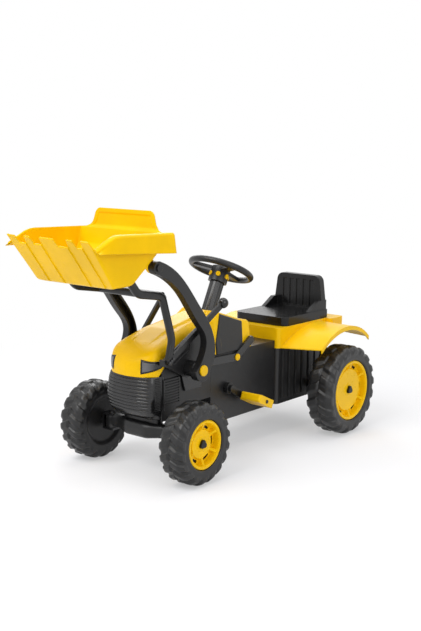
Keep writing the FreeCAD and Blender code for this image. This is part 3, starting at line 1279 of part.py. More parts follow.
def bucket_tub(inset):
    """Solid of the scoop without its rim, shrunk by inset below and at its sides."""
    slope = (BUCKET_LIP_X - BUCKET_FLOOR_FRONT) / (BUCKET_LIP_Z - BUCKET_FLOOR_Z)
    flare = (BUCKET_RIM_HALF - BUCKET_FLOOR_HALF) / (BUCKET_RIM_Z - BUCKET_FLOOR_Z)
    heights = ((BUCKET_FLOOR_Z + inset, BUCKET_FLOOR_BACK), (BUCKET_BEND_Z, BUCKET_BEND_BACK),
               (BUCKET_RIM_Z + SKIRT_CREST_RISE + inset, BUCKET_RIM_BACK))
    rings = []
    for z, back in heights:
        rise = z - BUCKET_FLOOR_Z
        front = BUCKET_FLOOR_FRONT + slope * rise - inset * 1.3
        rings.append(bucket_ring(z, back + inset * 1.4, front, BUCKET_FLOOR_HALF + flare * rise - inset))
    return loft(rings)


def above_rim():
    """Space over the bucket's rim, which falls towards the lip."""
    high = 2 * BUCKET_RIM_Z
    back = BUCKET_RIM_BACK - 2 * SKIRT_BACK
    points = [(back, BUCKET_RIM_Z), (SKIRT_CREST_X, BUCKET_RIM_Z + SKIRT_CREST_RISE),
              (BUCKET_LIP_X, BUCKET_LIP_Z),
              (2 * BUCKET_LIP_X, BUCKET_LIP_Z), (2 * BUCKET_LIP_X, high), (back, high)]
    return prism_y(points, -BUCKET_LIP_X, BUCKET_LIP_X)


def skirt(inset, y1):
    """Side flange of the rim as a solid, shrunk by inset, from the tub's wall out to y1."""
    back = BUCKET_RIM_BACK - SKIRT_BACK
    rim = BUCKET_RIM_Z
    points = [(back + inset, rim - SKIRT_DROP - 2 * inset),
              (BUCKET_LIP_X - inset, BUCKET_LIP_Z - 2 - 2 * inset),
              (BUCKET_LIP_X + 4 - inset, BUCKET_LIP_Z + 2 - inset),
              (SKIRT_CREST_X - inset, rim + SKIRT_CREST_RISE - inset),
              (back + 9 + inset, rim - 1 - inset)]
    return prism_y(points, BUCKET_FLOOR_HALF, y1)


def lip_place(shape):
    """Carry a shape from the front plate's own frame, X up the plate, to its place on the bucket."""
    lean = math.atan2(BUCKET_LIP_Z - BUCKET_FLOOR_Z, BUCKET_LIP_X - BUCKET_FLOOR_FRONT)
    shape.rotate(Vector(0, 0, 0), AXIS_Y, -math.degrees(lean))
    shape.translate(Vector(BUCKET_FLOOR_FRONT, 0, BUCKET_FLOOR_Z))
    return shape


def tooth_places():
    """Left-hand edge of each tooth's tip, across the bucket."""
    y = -(sum(TOOTH_WIDTHS) + TOOTH_GAP * (len(TOOTH_WIDTHS) - 1)) / 2
    places = []
    for width in TOOTH_WIDTHS:
        places.append(y)
        y += width + TOOTH_GAP
    return places


def plate_length():
    """Length of the front plate from the floor up to the lip."""
    return math.hypot(BUCKET_LIP_Z - BUCKET_FLOOR_Z, BUCKET_LIP_X - BUCKET_FLOOR_FRONT)


def lip_teeth():
    """Flat teeth that carry the front plate on past the lip, broader at their roots."""
    root = plate_length() - TOOTH_GAP / 3
    tip = plate_length() + TOOTH_HEIGHT
    teeth = []
    for y, width in zip(tooth_places(), TOOTH_WIDTHS):
        corners = [(root, y - TOOTH_FLARE), (root, y + width + TOOTH_FLARE), (tip, y + width), (tip, y)]
        wire = Part.makePolygon([Vector(x, side, 0) for x, side in corners + corners[:1]])
        tooth = Part.Face(wire).extrude(Vector(0, 0, TOOTH_THICK))
        tooth = soften(tooth, TOOTH_FLARE,
                       lambda edge: along(edge, AXIS_Z) and edge.BoundBox.XMin > tip - 1)
        teeth.append(lip_place(tooth))
    return teeth


def front_groove(y):
    """Shallow groove down the front plate, from the root of a tooth."""
    length = plate_length()
    low = -GROOVE_DEPTH
    return lip_place(Part.makeBox(length * 0.8, GROOVE_WIDTH, 2 * GROOVE_DEPTH,
                                  Vector(length * 0.14, y, low)))


def spill_guard():
    """Raised plate on the rim's back edge, with a sunk panel on its front."""
    back = BUCKET_RIM_BACK
    low = BUCKET_RIM_Z - 8
    high = BUCKET_RIM_Z + GUARD_HEIGHT
    points = [(-GUARD_BASE_HALF, low), (GUARD_BASE_HALF, low), (GUARD_BASE_HALF, low + 10),
              (GUARD_TOP_HALF + 14, high - 12), (GUARD_TOP_HALF, high), (-GUARD_TOP_HALF, high),
              (-GUARD_TOP_HALF - 14, high - 12), (-GUARD_BASE_HALF, low + 10)]
    wire = Part.makePolygon([Vector(back, y, z) for y, z in points + points[:1]])
    plate = Part.Face(wire).extrude(Vector(5, 0, 0))
    sunk = block(back + 3.5, back + 10, -GUARD_TOP_HALF, GUARD_TOP_HALF, BUCKET_RIM_Z + 8, high - 10)
    return plate.cut(sunk)


def hinge_lug():
    """Left hinge lug behind the bucket's back wall."""
    out = ARM_INNER - SIDE_GAP
    lug = rod_y(TIP_X, TIP_Z, TIP_RADIUS - 2, LUG_INNER, out)
    return lug.fuse(bar_y([(TIP_X, TIP_Z), (TIP_X + 46, TIP_Z + 22)], 2 * TIP_RADIUS - 4, LUG_INNER, out))


def bucket():
    """Yellow scoop: tub, side flanges, toothed lip, spill guard and hinge lugs."""
    out = BUCKET_RIM_HALF + SKIRT_OUT
    tub = bucket_tub(0.0)
    tub = soften(tub, 10.0, lambda edge: edge.BoundBox.ZMax < BUCKET_FLOOR_Z + 0.1)
    flange = skirt(0.0, out).cut(skirt(BUCKET_WALL, out - BUCKET_WALL))
    body = tub.fuse([flange, mirrored(flange), hinge_lug(), mirrored(hinge_lug())])
    body = body.cut(above_rim())
    body = body.cut(bucket_tub(BUCKET_WALL))
    body = body.fuse([spill_guard()] + lip_teeth())
    for y in tooth_places()[1:]:
        body = body.cut(front_groove(y - TOOTH_FLARE))
    for side in (LEFT, RIGHT):
        bore = rod_y(TIP_X, TIP_Z, TIP_PIN + SEAT_FIT, LUG_INNER - 1, ARM_INNER)
        body = body.cut(for_side(bore, side))
    return max(body.Solids, key=lambda solid: solid.Volume).removeSplitter()


def bucket_pin():
    """Left hinge pin through the arm's tip and the bucket's lug."""
    head = rod_y(TIP_X, TIP_Z, TIP_PIN + 4, ARM_INNER + ARM_THICK, ARM_INNER + ARM_THICK + 4)
    return head.fuse(rod_y(TIP_X, TIP_Z, TIP_PIN, LUG_INNER, ARM_INNER + ARM_THICK + 1))


def tow_hitch():
    """Tongue with a pin hole behind the rear body."""
    back = REAR_BODY_BACK
    low = LOW_FLOOR + 6
    tongue = block(back - HITCH_REACH, back, -HITCH_HALF, HITCH_HALF, low, low + HITCH_THICK)
    tongue = soften(tongue, HITCH_HALF * 0.8,
                    lambda edge: along(edge, AXIS_Z) and edge.BoundBox.XMax < back - 1)
    foot = block(back - HITCH_THICK, back, -HITCH_HALF, HITCH_HALF, low, low + 44)
    hitch = tongue.fuse(foot)
    return hitch.cut(rod_z(back - HITCH_REACH * 0.55, 0, HITCH_HOLE, 0, 2 * low)).removeSplitter()


def wheel_nodes(prefix, radius, width, half_track, x, rim_radius):
    """Tyre, rim cover and hub cap of the left and right wheels of one axle."""
    pieces = {"tyre": wheel_body(radius, width, rim_radius), "rim": rim_cover(width, rim_radius),
              "hub_cap": hub_cap(width)}
    nodes = {}
    for name, shape in pieces.items():
        placed = shape.copy()
        placed.translate(Vector(x, half_track, radius))
        for side, word in SIDES:
            nodes[f"{prefix}_{name}_{word}"] = for_side(placed, side)
    return nodes


def build():
    """Every node of the toy, by name, in the layout frame."""
    nodes = {
        "engine_body": engine_body(), "tunnel_body": tunnel_body(), "rear_body": rear_body(),
        "grille": grille(),
        "side_vents": both_sides(side_vent()), "hood": hood(), "cowl_panels": both_sides(cowl_panel()),
        "steering_column": steering_column(), "seat_base": seat_base(), "seat": seat(),
        "seat_screws": seat_screws(),
        "front_axle_beam": front_axle_beam(), "mount_caps": both_sides(mount_cap()),
        "drive_bushes": drive_bushes(),
        "chain": chain(), "tow_hitch": tow_hitch(), "steering_shaft": steering_shaft(),
        "steering_wheel": steering_wheel(), "hub_plugs": hub_plugs(), "horn_button": horn_button(),
        "tie_rod": tie_rod(), "rear_axle": rear_axle(),
        "rear_sprocket": chain_wheel(0, REAR_RADIUS, REAR_TEETH, AXLE_RADIUS), "crank": crank(),
        "crank_sprocket": chain_wheel(CRANK_X, CRANK_Z, CRANK_TEETH, CRANK_RADIUS),
        "loader_shaft": loader_shaft(),
        "pivot_caps": both_sides(pivot_cap()), "lift_lever": lift_lever(), "lift_knob": lift_knob(),
        "bucket": bucket(), "tilt_frame": tilt_frame(), "tilt_lever": tilt_lever(),
        "tilt_knob": tilt_knob(),
        "lever_bolts": lever_bolts(), "hinge_pins": both_sides(bucket_pin())}
    nodes["side_plate_left"] = rest_plate()
    nodes["side_plate_right"] = for_side(side_plate(PLATE_SHORT_APEX, PLATE_SHORT_TOP), -1)
    pairs = {"headlight": headlight(), "loader_mount": loader_mount(), "knuckle": knuckle()}
    for side, word in SIDES:
        for name, shape in pairs.items():
            nodes[f"{name}_{word}"] = for_side(shape, side)
        nodes[f"pedal_{word}"] = pedal(side)
        nodes[f"lift_arm_{word}"] = lift_arm(side)
    nodes.update(wheel_nodes("rear", REAR_RADIUS, REAR_WIDTH, REAR_HALF_TRACK, 0, REAR_RIM_RADIUS))
    nodes.update(wheel_nodes("front", FRONT_RADIUS, FRONT_WIDTH, FRONT_HALF_TRACK, WHEELBASE,
                             FRONT_RIM_RADIUS))
    return nodes


def places(shift):
    """Joint and mount places in the finished frame, printed for the record."""
    left = crank_point(LEFT)
    right = crank_point(RIGHT)
    return {"rear_axle": (shift, 0, REAR_RADIUS), "front_axle": (shift + WHEELBASE, 0, FRONT_RADIUS),
            "kingpin": (shift + WHEELBASE, KINGPIN_Y, FRONT_RADIUS), "crank": (shift + CRANK_X, 0, CRANK_Z),
            "pedal_left": (shift + left[0], 0, left[1]), "pedal_right": (shift + right[0], 0, right[1]),
            "steering": (shift + STEER_CENTRE_X, 0, STEER_CENTRE_Z), "lift": (shift + PIVOT_X, 0, PIVOT_Z),
            "tip": (shift + TIP_X, 0, TIP_Z), "tie_rod": (shift + tie_rod_x(), 0, tie_rod_low()),
            "hitch": (shift + REAR_BODY_BACK - HITCH_REACH * 0.55, 0, LOW_FLOOR + 6)}


nodes = build()
box = FreeCAD.BoundBox()
for shape in nodes.values():
    box.add(shape.optimalBoundingBox(False, False))
shift = -(box.XMin + box.XMax) / 2
os.makedirs("parts", exist_ok=True)
for name, shape in nodes.items():
    shape.translate(Vector(shift, 0, 0))
    shape.exportStep(f"parts/{name}.step")
    print(name, len(shape.Solids), shape.isValid(), round(shape.Volume / 1000, 1))
print("size", round(box.XLength, 1), round(box.YLength, 1), round(box.ZLength, 1), round(box.ZMin, 2))
print("places", json.dumps(places(shift)))
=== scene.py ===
import math

import bmesh
import bpy
import mathutils
import numpy as np
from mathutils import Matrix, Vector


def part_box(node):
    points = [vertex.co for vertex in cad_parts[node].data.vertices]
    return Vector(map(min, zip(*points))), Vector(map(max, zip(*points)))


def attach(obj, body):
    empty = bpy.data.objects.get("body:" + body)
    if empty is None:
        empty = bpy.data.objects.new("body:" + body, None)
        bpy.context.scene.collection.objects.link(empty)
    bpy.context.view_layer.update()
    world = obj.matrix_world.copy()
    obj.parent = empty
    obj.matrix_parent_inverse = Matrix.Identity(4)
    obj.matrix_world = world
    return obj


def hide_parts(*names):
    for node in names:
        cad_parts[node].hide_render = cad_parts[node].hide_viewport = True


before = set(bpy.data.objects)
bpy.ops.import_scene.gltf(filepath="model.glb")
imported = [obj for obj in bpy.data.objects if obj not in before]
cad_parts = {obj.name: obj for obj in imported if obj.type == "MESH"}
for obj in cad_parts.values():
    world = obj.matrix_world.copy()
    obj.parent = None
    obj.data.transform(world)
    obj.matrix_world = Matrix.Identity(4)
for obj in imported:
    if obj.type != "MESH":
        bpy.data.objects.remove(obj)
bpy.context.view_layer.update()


# Casings: the engine body with its ridged nose, the low tunnel behind it and the rear body are hollow black
# plastic mouldings, screwed together end to end. Brackets, panels and vents of the same plastic clip onto them.
class Wire:
    """One output of a material's node. Sums and products of wires and numbers add Math nodes."""

    def __init__(self, tree, socket):
        self.tree = tree
        self.socket = socket

    def node(self, kind, settings, inputs, output=0):
        """Add a node: its settings first, then a value or a wire into each input that is named."""
        made = self.tree.nodes.new(kind)
        for name, value in settings.items():
            setattr(made, name, value)
        for name, value in inputs.items():
            if isinstance(value, Wire):
                self.tree.links.new(value.socket, made.inputs[name])
            else:
                made.inputs[name].default_value = value
        return Wire(self.tree, made.outputs[output])

    def maths(self, operation, first, second):
        return self.node("ShaderNodeMath", {"operation": operation}, {0: first, 1: second})

    def __add__(self, other):
        return self.maths("ADD", self, other)

    def __radd__(self, other):
        return self.maths("ADD", other, self)

    def __sub__(self, other):
        return self.maths("SUBTRACT", self, other)

    def __rsub__(self, other):
        return self.maths("SUBTRACT", other, self)

    def __mul__(self, other):
        return self.maths("MULTIPLY", self, other)

    def __rmul__(self, other):
        return self.maths("MULTIPLY", other, self)

    def step(self, low, high):
        """Smooth rise from 0 at low to 1 at high."""
        settings = {"interpolation_type": "SMOOTHSTEP"}
        return self.node("ShaderNodeMapRange", settings, {"Value": self, "From Min": low, "From Max": high})

    def mix(self, low, high):
        """Colour that goes from low to high as this value goes from 0 to 1."""
        return self.node("ShaderNodeMix", {"data_type": "RGBA"}, {0: self, 6: low, 7: high}, 2)

    def noise(self, scale, detail):
        """Cloudy noise, 0 to 1, whose lumps are about 1 / scale metres wide."""
        return self.node("ShaderNodeTexNoise", {}, {"Vector": self, "Scale": scale, "Detail": detail})


def new_finish(name):
    """A material, and a wire that carries a point's place on its object."""
    material = bpy.data.materials.new(name)
    material.use_nodes = True
    tree = material.node_tree
    return material, Wire(tree, tree.nodes.new("ShaderNodeTexCoord").outputs["Object"])


def set_shader(material, values):
    """Give the material's main shader its values, as numbers or as wires."""
    shader = material.node_tree.nodes["Principled BSDF"]
    for name, value in values.items():
        if isinstance(value, Wire):
            value.tree.links.new(value.socket, shader.inputs[name])
        else:
            shader.inputs[name].default_value = value


WHITE = (1.0, 1.0, 1.0, 1.0)


def grey(value):
    """Grey of that brightness, a shade cooler than neutral."""
    return (value, value, value * 1.03, 1.0)


def tinted(colour, share):
    """The colour made darker or lighter by that share."""
    return tuple(min(1.0, part * share) for part in colour[:3]) + (1.0,)


def moulded_plastic(name, colour, worn_edge_highlight_colour, *, roughness, grain_pitch, grain_depth, corner, specular,
                    sheen=WHITE):
    """Through-dyed plastic: its tone drifts over hand-wide clouds, the mould's fine grain lifts its surface, and
    corners are rounded over a short radius and turn a paler colour in patches, partly wear and partly a painted
    highlight."""
    material, place = new_finish(name)
    cloud = place.noise(9.0, 4.0)
    patch = place.noise(55.0, 5.0)
    grain = place.noise(1 / grain_pitch, 2.0)
    rounded = place.node("ShaderNodeBevel", {"samples": 4}, {"Radius": corner})
    facing = place.node("ShaderNodeNewGeometry", {}, {}, "Normal")
    turned = place.node("ShaderNodeVectorMath", {"operation": "DOT_PRODUCT"}, {0: rounded, 1: facing}, "Value")
    # Paler colour in patches on the rounded edges: partly wear, partly a painted highlight where edges would catch
    # the light.
    worn_edge_highlight = (1 - turned).step(0.03, 0.25) * patch.step(0.35, 0.7) * 0.5
    body = cloud.step(0.3, 0.7).mix(tinted(colour, 0.93), tinted(colour, 1.06))
    relief = place.node("ShaderNodeBump", {}, {"Height": grain + patch * 0.4, "Strength": 0.35,
                                               "Distance": grain_depth, "Normal": rounded})
    set_shader(material, {"Base Color": worn_edge_highlight.mix(body, worn_edge_highlight_colour), "Normal": relief,
                          "Roughness": roughness + 0.16 * (patch - 0.5) + 0.08 * (cloud - 0.5),
                          "Specular IOR Level": specular, "Specular Tint": sheen})
    return material


def dress(nodes, material):
    """Put the material on CAD nodes whose shape is already right."""
    for name in nodes:
        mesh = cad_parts[name].data
        mesh.materials.clear()
        mesh.materials.append(material)


# The second colour is the paler edge colour: partly wear, partly a painted highlight along the edges.
casing_black = moulded_plastic("casing_black", grey(0.010), grey(0.085), roughness=0.36, grain_pitch=0.0011,
                               grain_depth=0.00022, corner=0.0022, specular=0.42)
dress(["engine_body", "tunnel_body", "rear_body", "side_vents", "drive_bushes", "tow_hitch"], casing_black)
nose_black = moulded_plastic("nose_black", grey(0.010), grey(0.030), roughness=0.24, grain_pitch=0.0011,
                             grain_depth=0.00012, corner=0.0026, specular=0.55)
dress(["loader_mount_left", "loader_mount_right"], nose_black)


# Hood: one yellow plastic moulding with the dashboard cowl behind it, clipped over the engine body. Its top is
# arched, with a raised strip along the middle, and all its corners are well rounded.
YELLOW = (0.87, 0.52, 0.002, 1.0)
# Paler edge colour of the yellow plastics: partly wear, partly a painted highlight along the edges.
PALE_YELLOW = (0.93, 0.62, 0.03, 1.0)
WARM = (1.0, 0.78, 0.12, 1.0)
HOOD_SHEEN = (1.0, 0.86, 0.40, 1.0)
HOOD_WALL = 0.003
HOOD_HALF = 0.086
HOOD_FOOT = 0.300
NOSE_FOOT = 0.276
HOOD_TOP = ((0.100, 0.4225), (0.171, 0.409), (0.301, 0.386), (0.401, 0.352), (0.431, 0.332), (0.4515, 0.304),
            (0.4555, 0.260))
HOOD_PLAN = ((0.0, HOOD_HALF), (0.396, HOOD_HALF), (0.4224, 0.080), (0.4345, 0.0625), (0.4475, 0.035),
             (0.4555, 0.006), (0.4555, -0.006))
COWL_TOP = ((0.0, 0.377), (0.042, 0.385), (0.137, 0.417), (0.171, 0.394), (0.180, 0.388))
COWL_LEAN = 0.15
COWL_FRONT = 0.171
COWL_ROUNDING = 0.008
HOOD_BACK = 0.150
HOOD_ROUNDING = 0.020
STRIP_HEIGHT = 0.005
STRIP_EDGE = (0.031, 0.037)
STRIP_FADE = (0.30, 0.41)
SHOULDER_POINT = (0.056, 0.408)
SHOULDER_NORMAL = (0.919, 0.394)
INNER_LINE = (0.012, 0.406)


def eased(values, low, high):
    """Smooth rise from 0 at low to 1 at high, for an array."""
    share = np.clip((values - low) / (high - low), 0.0, 1.0)
    return share * share * (3.0 - 2.0 * share)


def spaced(corners, count):
    """Points at even distances along straight runs between the corners, so many in all."""
    corners = np.array(corners, dtype=float)
    runs = np.linalg.norm(np.diff(corners, axis=0), axis=1)
    walked = np.concatenate([[0.0], np.cumsum(runs)])
    places = np.linspace(0.0, walked[-1], count)
    return np.column_stack([np.interp(places, walked, column) for column in corners.T])


def softened(points, reach):
    """Path with rounded corners: each point becomes the mean of those up to reach places away. Both ends stay."""
    before = 2 * points[0] - points[reach:0:-1]
    after = 2 * points[-1] - points[-2:-2 - reach:-1]
    padded = np.concatenate([before, points, after])
    window = np.ones(2 * reach + 1) / (2 * reach + 1)
    return np.column_stack([np.convolve(column, window, "valid") for column in padded.T])


def skin(name, grids, material, gaps=()):
    """Mesh of grids of points, joined where their borders meet. Each cell of a grid is a face, unless it is marked
    in the grid's array of gaps."""
    points, faces, count = [], [], 0
    for number, grid in enumerate(grids):
        rows, columns = grid.shape[:2]
        index = count + np.arange(rows * columns).reshape(rows, columns)
        cells = np.stack([index[:-1, :-1], index[:-1, 1:], index[1:, 1:], index[1:, :-1]], axis=-1)
        kept = ~gaps[number] if number < len(gaps) else np.ones((rows - 1, columns - 1), dtype=bool)
        points.append(grid.reshape(-1, 3))
        faces.append(cells[kept])
        count += rows * columns
    mesh = bpy.data.meshes.new(name)
    mesh.from_pydata(np.concatenate(points).tolist(), [], np.concatenate(faces).tolist())
    shape = bmesh.new()
    shape.from_mesh(mesh)
    bmesh.ops.remove_doubles(shape, verts=shape.verts, dist=1e-6)
    bmesh.ops.dissolve_degenerate(shape, edges=shape.edges, dist=1e-7)
    bmesh.ops.recalc_face_normals(shape, faces=shape.faces)
    shape.to_mesh(mesh)
    shape.free()
    mesh.shade_smooth()
    mesh.set_sharp_from_angle(angle=math.radians(40))
    mesh.materials.append(material)
    piece = bpy.data.objects.new(name, mesh)
    bpy.context.scene.collection.objects.link(piece)
    return piece


def stand_in(piece, body, node):
    """The piece moves with its body and is seen in place of the CAD node."""
    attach(piece, body)
    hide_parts(node)


def thicken(piece, thickness):
    """Give a sheet its wall, inwards from its outer face."""
    wall = piece.modifiers.new("wall", "SOLIDIFY")
    wall.thickness = thickness
    wall.offset = -1.0


def blunt(first, second, reach):
    """Greater of two distances, made greater still where they are within reach, which rounds the edge between."""
    near = np.clip(reach - np.abs(first - second), 0.0, None)
    return np.maximum(first, second) + near ** 2 / (4 * reach)


def beyond(corners, ahead, up):
    """Distance outside a rounded line: the greatest of the distances to the tangents along it."""
    line = softened(spaced(corners, 90), 4)
    heading = np.diff(line, axis=0)
    heading /= np.linalg.norm(heading, axis=1)[:, None]
    offset = heading[:, 1] * line[:-1, 0] - heading[:, 0] * line[:-1, 1]
    return (heading[:, 0] * up[..., None] - heading[:, 1] * ahead[..., None] + offset).max(axis=-1)


def hood_distance(place):
    """Distance of places outside the hood. The hood lies below its top line, inside its plan and inside slanting
    shoulders; the cowl lies below its own top line, between sides that lean in. Both are joined."""
    x, wide, z = place[..., 0], np.abs(place[..., 1]), place[..., 2]
    strip = STRIP_HEIGHT * (1.0 - eased(wide, *STRIP_EDGE)) * (1.0 - eased(x, *STRIP_FADE))
    shoulder = SHOULDER_NORMAL[0] * (wide - SHOULDER_POINT[0]) + SHOULDER_NORMAL[1] * (z - SHOULDER_POINT[1])
    upper = blunt(beyond(HOOD_TOP, x, z) - strip, shoulder, HOOD_ROUNDING)
    hood = np.maximum(blunt(upper, beyond(HOOD_PLAN, x, wide), HOOD_ROUNDING), HOOD_BACK - x)
    lid = z - np.interp(x, *np.transpose(COWL_TOP))
    sides = wide - HOOD_HALF + COWL_LEAN * (z - HOOD_FOOT)
    ends = np.maximum(-x, x - COWL_FRONT)
    cowl = blunt(blunt(lid, sides, COWL_ROUNDING), ends, COWL_ROUNDING)
    return np.minimum(hood, cowl)


def cast(start, way, lift):
    """Points where straight ways from inside come out of the hood, or reach the lift above it, found by halving."""
    near = np.zeros(way.shape[:-1])
    far = np.full(way.shape[:-1], 0.25)
    for _ in range(30):
        middle = (near + far) / 2
        inside = hood_distance(start + middle[..., None] * way) < lift
        near = np.where(inside, middle, near)
        far = np.where(inside, far, middle)
    return start + near[..., None] * way


def hood_grid():
    """Hood: columns fan out over the top from one lower edge to the other. Rows start along a line inside, from the
    cowl to the nose, and lean back or forward at its ends until they meet at the foot of each end."""
    over = np.linspace(0.0, np.pi, 121)
    first, last = INNER_LINE
    along = np.concatenate([np.full(20, first), np.linspace(first, last, 150), np.full(39, last)])
    back = np.linspace(-np.pi / 2, -0.02, 20)
    lean = np.concatenate([back, np.zeros(150), np.linspace(0.0, np.pi / 2, 40)[1:]])[:, None]
    foot = np.interp(along, [last - 0.022, last], [HOOD_FOOT, NOSE_FOOT])
    start = np.stack([along, np.zeros_like(along), foot], axis=-1)[:, None, :]
    way = np.stack([np.sin(lean) + 0 * over, np.cos(lean) * np.cos(over), np.cos(lean) * np.sin(over)], axis=-1)
    return cast(start, way, 0.0)


cowl_back = np.array([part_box("hood")[0][0], 0.0, 0.0])
other_side = np.array([1.0, -1.0, 1.0])
shell_yellow = moulded_plastic("shell_yellow", YELLOW, PALE_YELLOW, roughness=0.32, grain_pitch=0.0016,
                               grain_depth=0.00018, corner=0.003, specular=0.32, sheen=HOOD_SHEEN)
hood = skin("hood_skin", [hood_grid() + cowl_back], shell_yellow)
thicken(hood, HOOD_WALL)
stand_in(hood, "chassis", "hood")
dress(["mount_caps", "pivot_caps", "hub_plugs", "pedal_left", "pedal_right"], shell_yellow)


# Headlights and cowl panels: two smoked lenses in black frames are pushed into the hood's front corners, and a
# black panel with a slanting front edge is clipped onto each side of the cowl.
LENS_TURN = (math.radians(31.5), math.radians(69.0))
LENS_LOW = (0.2838, 0.2910, 0.2995)
LENS_TOP = (0.3235, 0.3188, 0.3180)
LENS_CENTRE = 0.36
LENS_RADIUS = 0.09
LENS_PROUD = 0.0016
FRAME_PROUD = 0.0011
FRAME_WIDTH = 0.0040
# Where the lens's painted dark reflection is full, at the rear, and where it has faded out, at the front.
LENS_PAINTED_DARK_FULL = 0.410
LENS_PAINTED_DARK_NONE = 0.437
LAMP_WALL = 0.0008
PANEL_BACK = 0.045
PANEL_BACK_LEAN = 0.007
PANEL_FRONT = ((0.0, 0.168), (0.33, 0.168), (1.0, 0.135))
PANEL_TOP_GAP = 0.004
PANEL_PROUD = 0.004
PANEL_SUNK = 0.001
PANEL_WALL = 0.0015


def lens_grid(inset, lift):
    """Patch on the hood's left front corner: columns turn round the nose, rows rise between a lower and an upper
    edge that close in towards the back. It stands proud by the lift, and its border sinks into the hood."""
    turn = np.linspace(LENS_TURN[0] + inset / LENS_RADIUS, LENS_TURN[1] - inset / LENS_RADIUS, 60)
    stops = np.linspace(LENS_TURN[0], LENS_TURN[1], 3)
    low = np.interp(turn, stops, LENS_LOW) + inset
    top = np.interp(turn, stops, LENS_TOP) - inset
    rise = np.linspace(0.0, 1.0, 24)[:, None]
    z = low + rise * (top - low)
    ends = np.minimum(turn - turn[0], turn[-1] - turn) * LENS_RADIUS
    border = np.minimum(np.minimum(z - low, top - z), ends)
    start = np.stack([np.full_like(z, LENS_CENTRE), np.zeros_like(z), z], axis=-1)
    way = np.stack([np.cos(turn) + 0 * z, np.sin(turn) + 0 * z, 0 * z], axis=-1)
    return cast(start, way, lift * (2 * eased(border, -0.0015, 0.0015) - 1.0))


def panel_grid():
    """Patch on the cowl's left side: rows rise from the foot to the top edge, columns run from an upright back edge
    to the front edge, which slants back as it rises. It stands proud and its border sinks into the cowl."""
    rise = np.linspace(0.0, 1.0, 60)[:, None]
    share = np.linspace(0.0, 1.0, 70)
    back = PANEL_BACK - PANEL_BACK_LEAN * rise
    front = np.interp(rise, *np.transpose(PANEL_FRONT))
    x = back + share * (front - back)
    top = np.interp(x, *np.transpose(COWL_TOP)) - PANEL_TOP_GAP
    z = HOOD_FOOT + rise * (top - HOOD_FOOT)
    border = np.minimum(np.minimum(x - back, front - x), top - z)
    start = np.stack([x, np.zeros_like(x), z], axis=-1)
    way = np.broadcast_to([0.0, 1.0, 0.0], start.shape)
    return cast(start, way, (PANEL_PROUD + PANEL_SUNK) * eased(border, 0.0, 0.003) - PANEL_SUNK)


def smoked_lens(name, front, back):
    """Smoked plastic under a glossy coat, with faint flutes: grey where it faces ahead, and darkened round the
    corner by a painted dark reflection.
    """
    material, place = new_finish(name)
    flutes = place.node("ShaderNodeTexWave", {"bands_direction": "Z"}, {"Vector": place, "Scale": 60.0})
    ahead = place.node("ShaderNodeSeparateXYZ", {}, {"Vector": place}, "X")
    # Painted dark reflection: the lens goes from grey at the front to near black round the corner, set by place, not
    # by light.
    shade = (ahead.step(back, front) * (0.9 + 0.1 * flutes)).mix(grey(0.008), grey(0.13))
    relief = place.node("ShaderNodeBump", {}, {"Height": flutes, "Strength": 0.06, "Distance": 0.0004})
    set_shader(material, {"Base Color": shade, "Normal": relief, "Roughness": 0.22, "Coat Weight": 0.15})
    return material


lens_smoke = smoked_lens("lens_smoke", cowl_back[0] + LENS_PAINTED_DARK_NONE, cowl_back[0] + LENS_PAINTED_DARK_FULL)
frame_black = moulded_plastic("frame_black", grey(0.006), grey(0.012), roughness=0.22, grain_pitch=0.002,
                              grain_depth=0.0001, corner=0.0008, specular=0.4)
for side, mirror in (("left", 1.0), ("right", other_side)):
    lens = skin(f"headlight_{side}_lens", [lens_grid(FRAME_WIDTH, LENS_PROUD) * mirror + cowl_back], lens_smoke)
    surround = skin(f"headlight_{side}_frame", [lens_grid(0.0, FRAME_PROUD) * mirror + cowl_back], frame_black)
    for piece in (lens, surround):
        thicken(piece, LAMP_WALL)
        stand_in(piece, "chassis", f"headlight_{side}")
panel = panel_grid()
panels = skin("cowl_panel_skins", [panel + cowl_back, panel * other_side + cowl_back], casing_black)
thicken(panels, PANEL_WALL)
stand_in(panels, "chassis", "cowl_panels")


# Nose: the ridged front of the engine, one black moulding under the hood's foot. It swells a little halfway down,
# its ridges run round to the corners, and its chin slopes in over the axle.
NOSE_PLAN = ((0.386, 0.0862), (0.398, 0.0857), (0.4265, 0.0785), (0.4365, 0.0680), (0.4430, 0.045), (0.446, 0.010))
NOSE_SWELL = ((-0.003, 0.2765), (0.002, 0.262), (0.007, 0.215), (0.0, 0.182), (-0.010, 0.169), (-0.028, 0.158),
              (-0.040, 0.156))
RIDGE_PITCH = 0.0093
RIDGE_DEPTH = 0.0036
RIB_DEPTH = 0.0015
CHIN_TOP = 0.182
CHIN_MIDDLE = (0.39, 0.0, 0.1555)
NOSE_WALL = 0.002


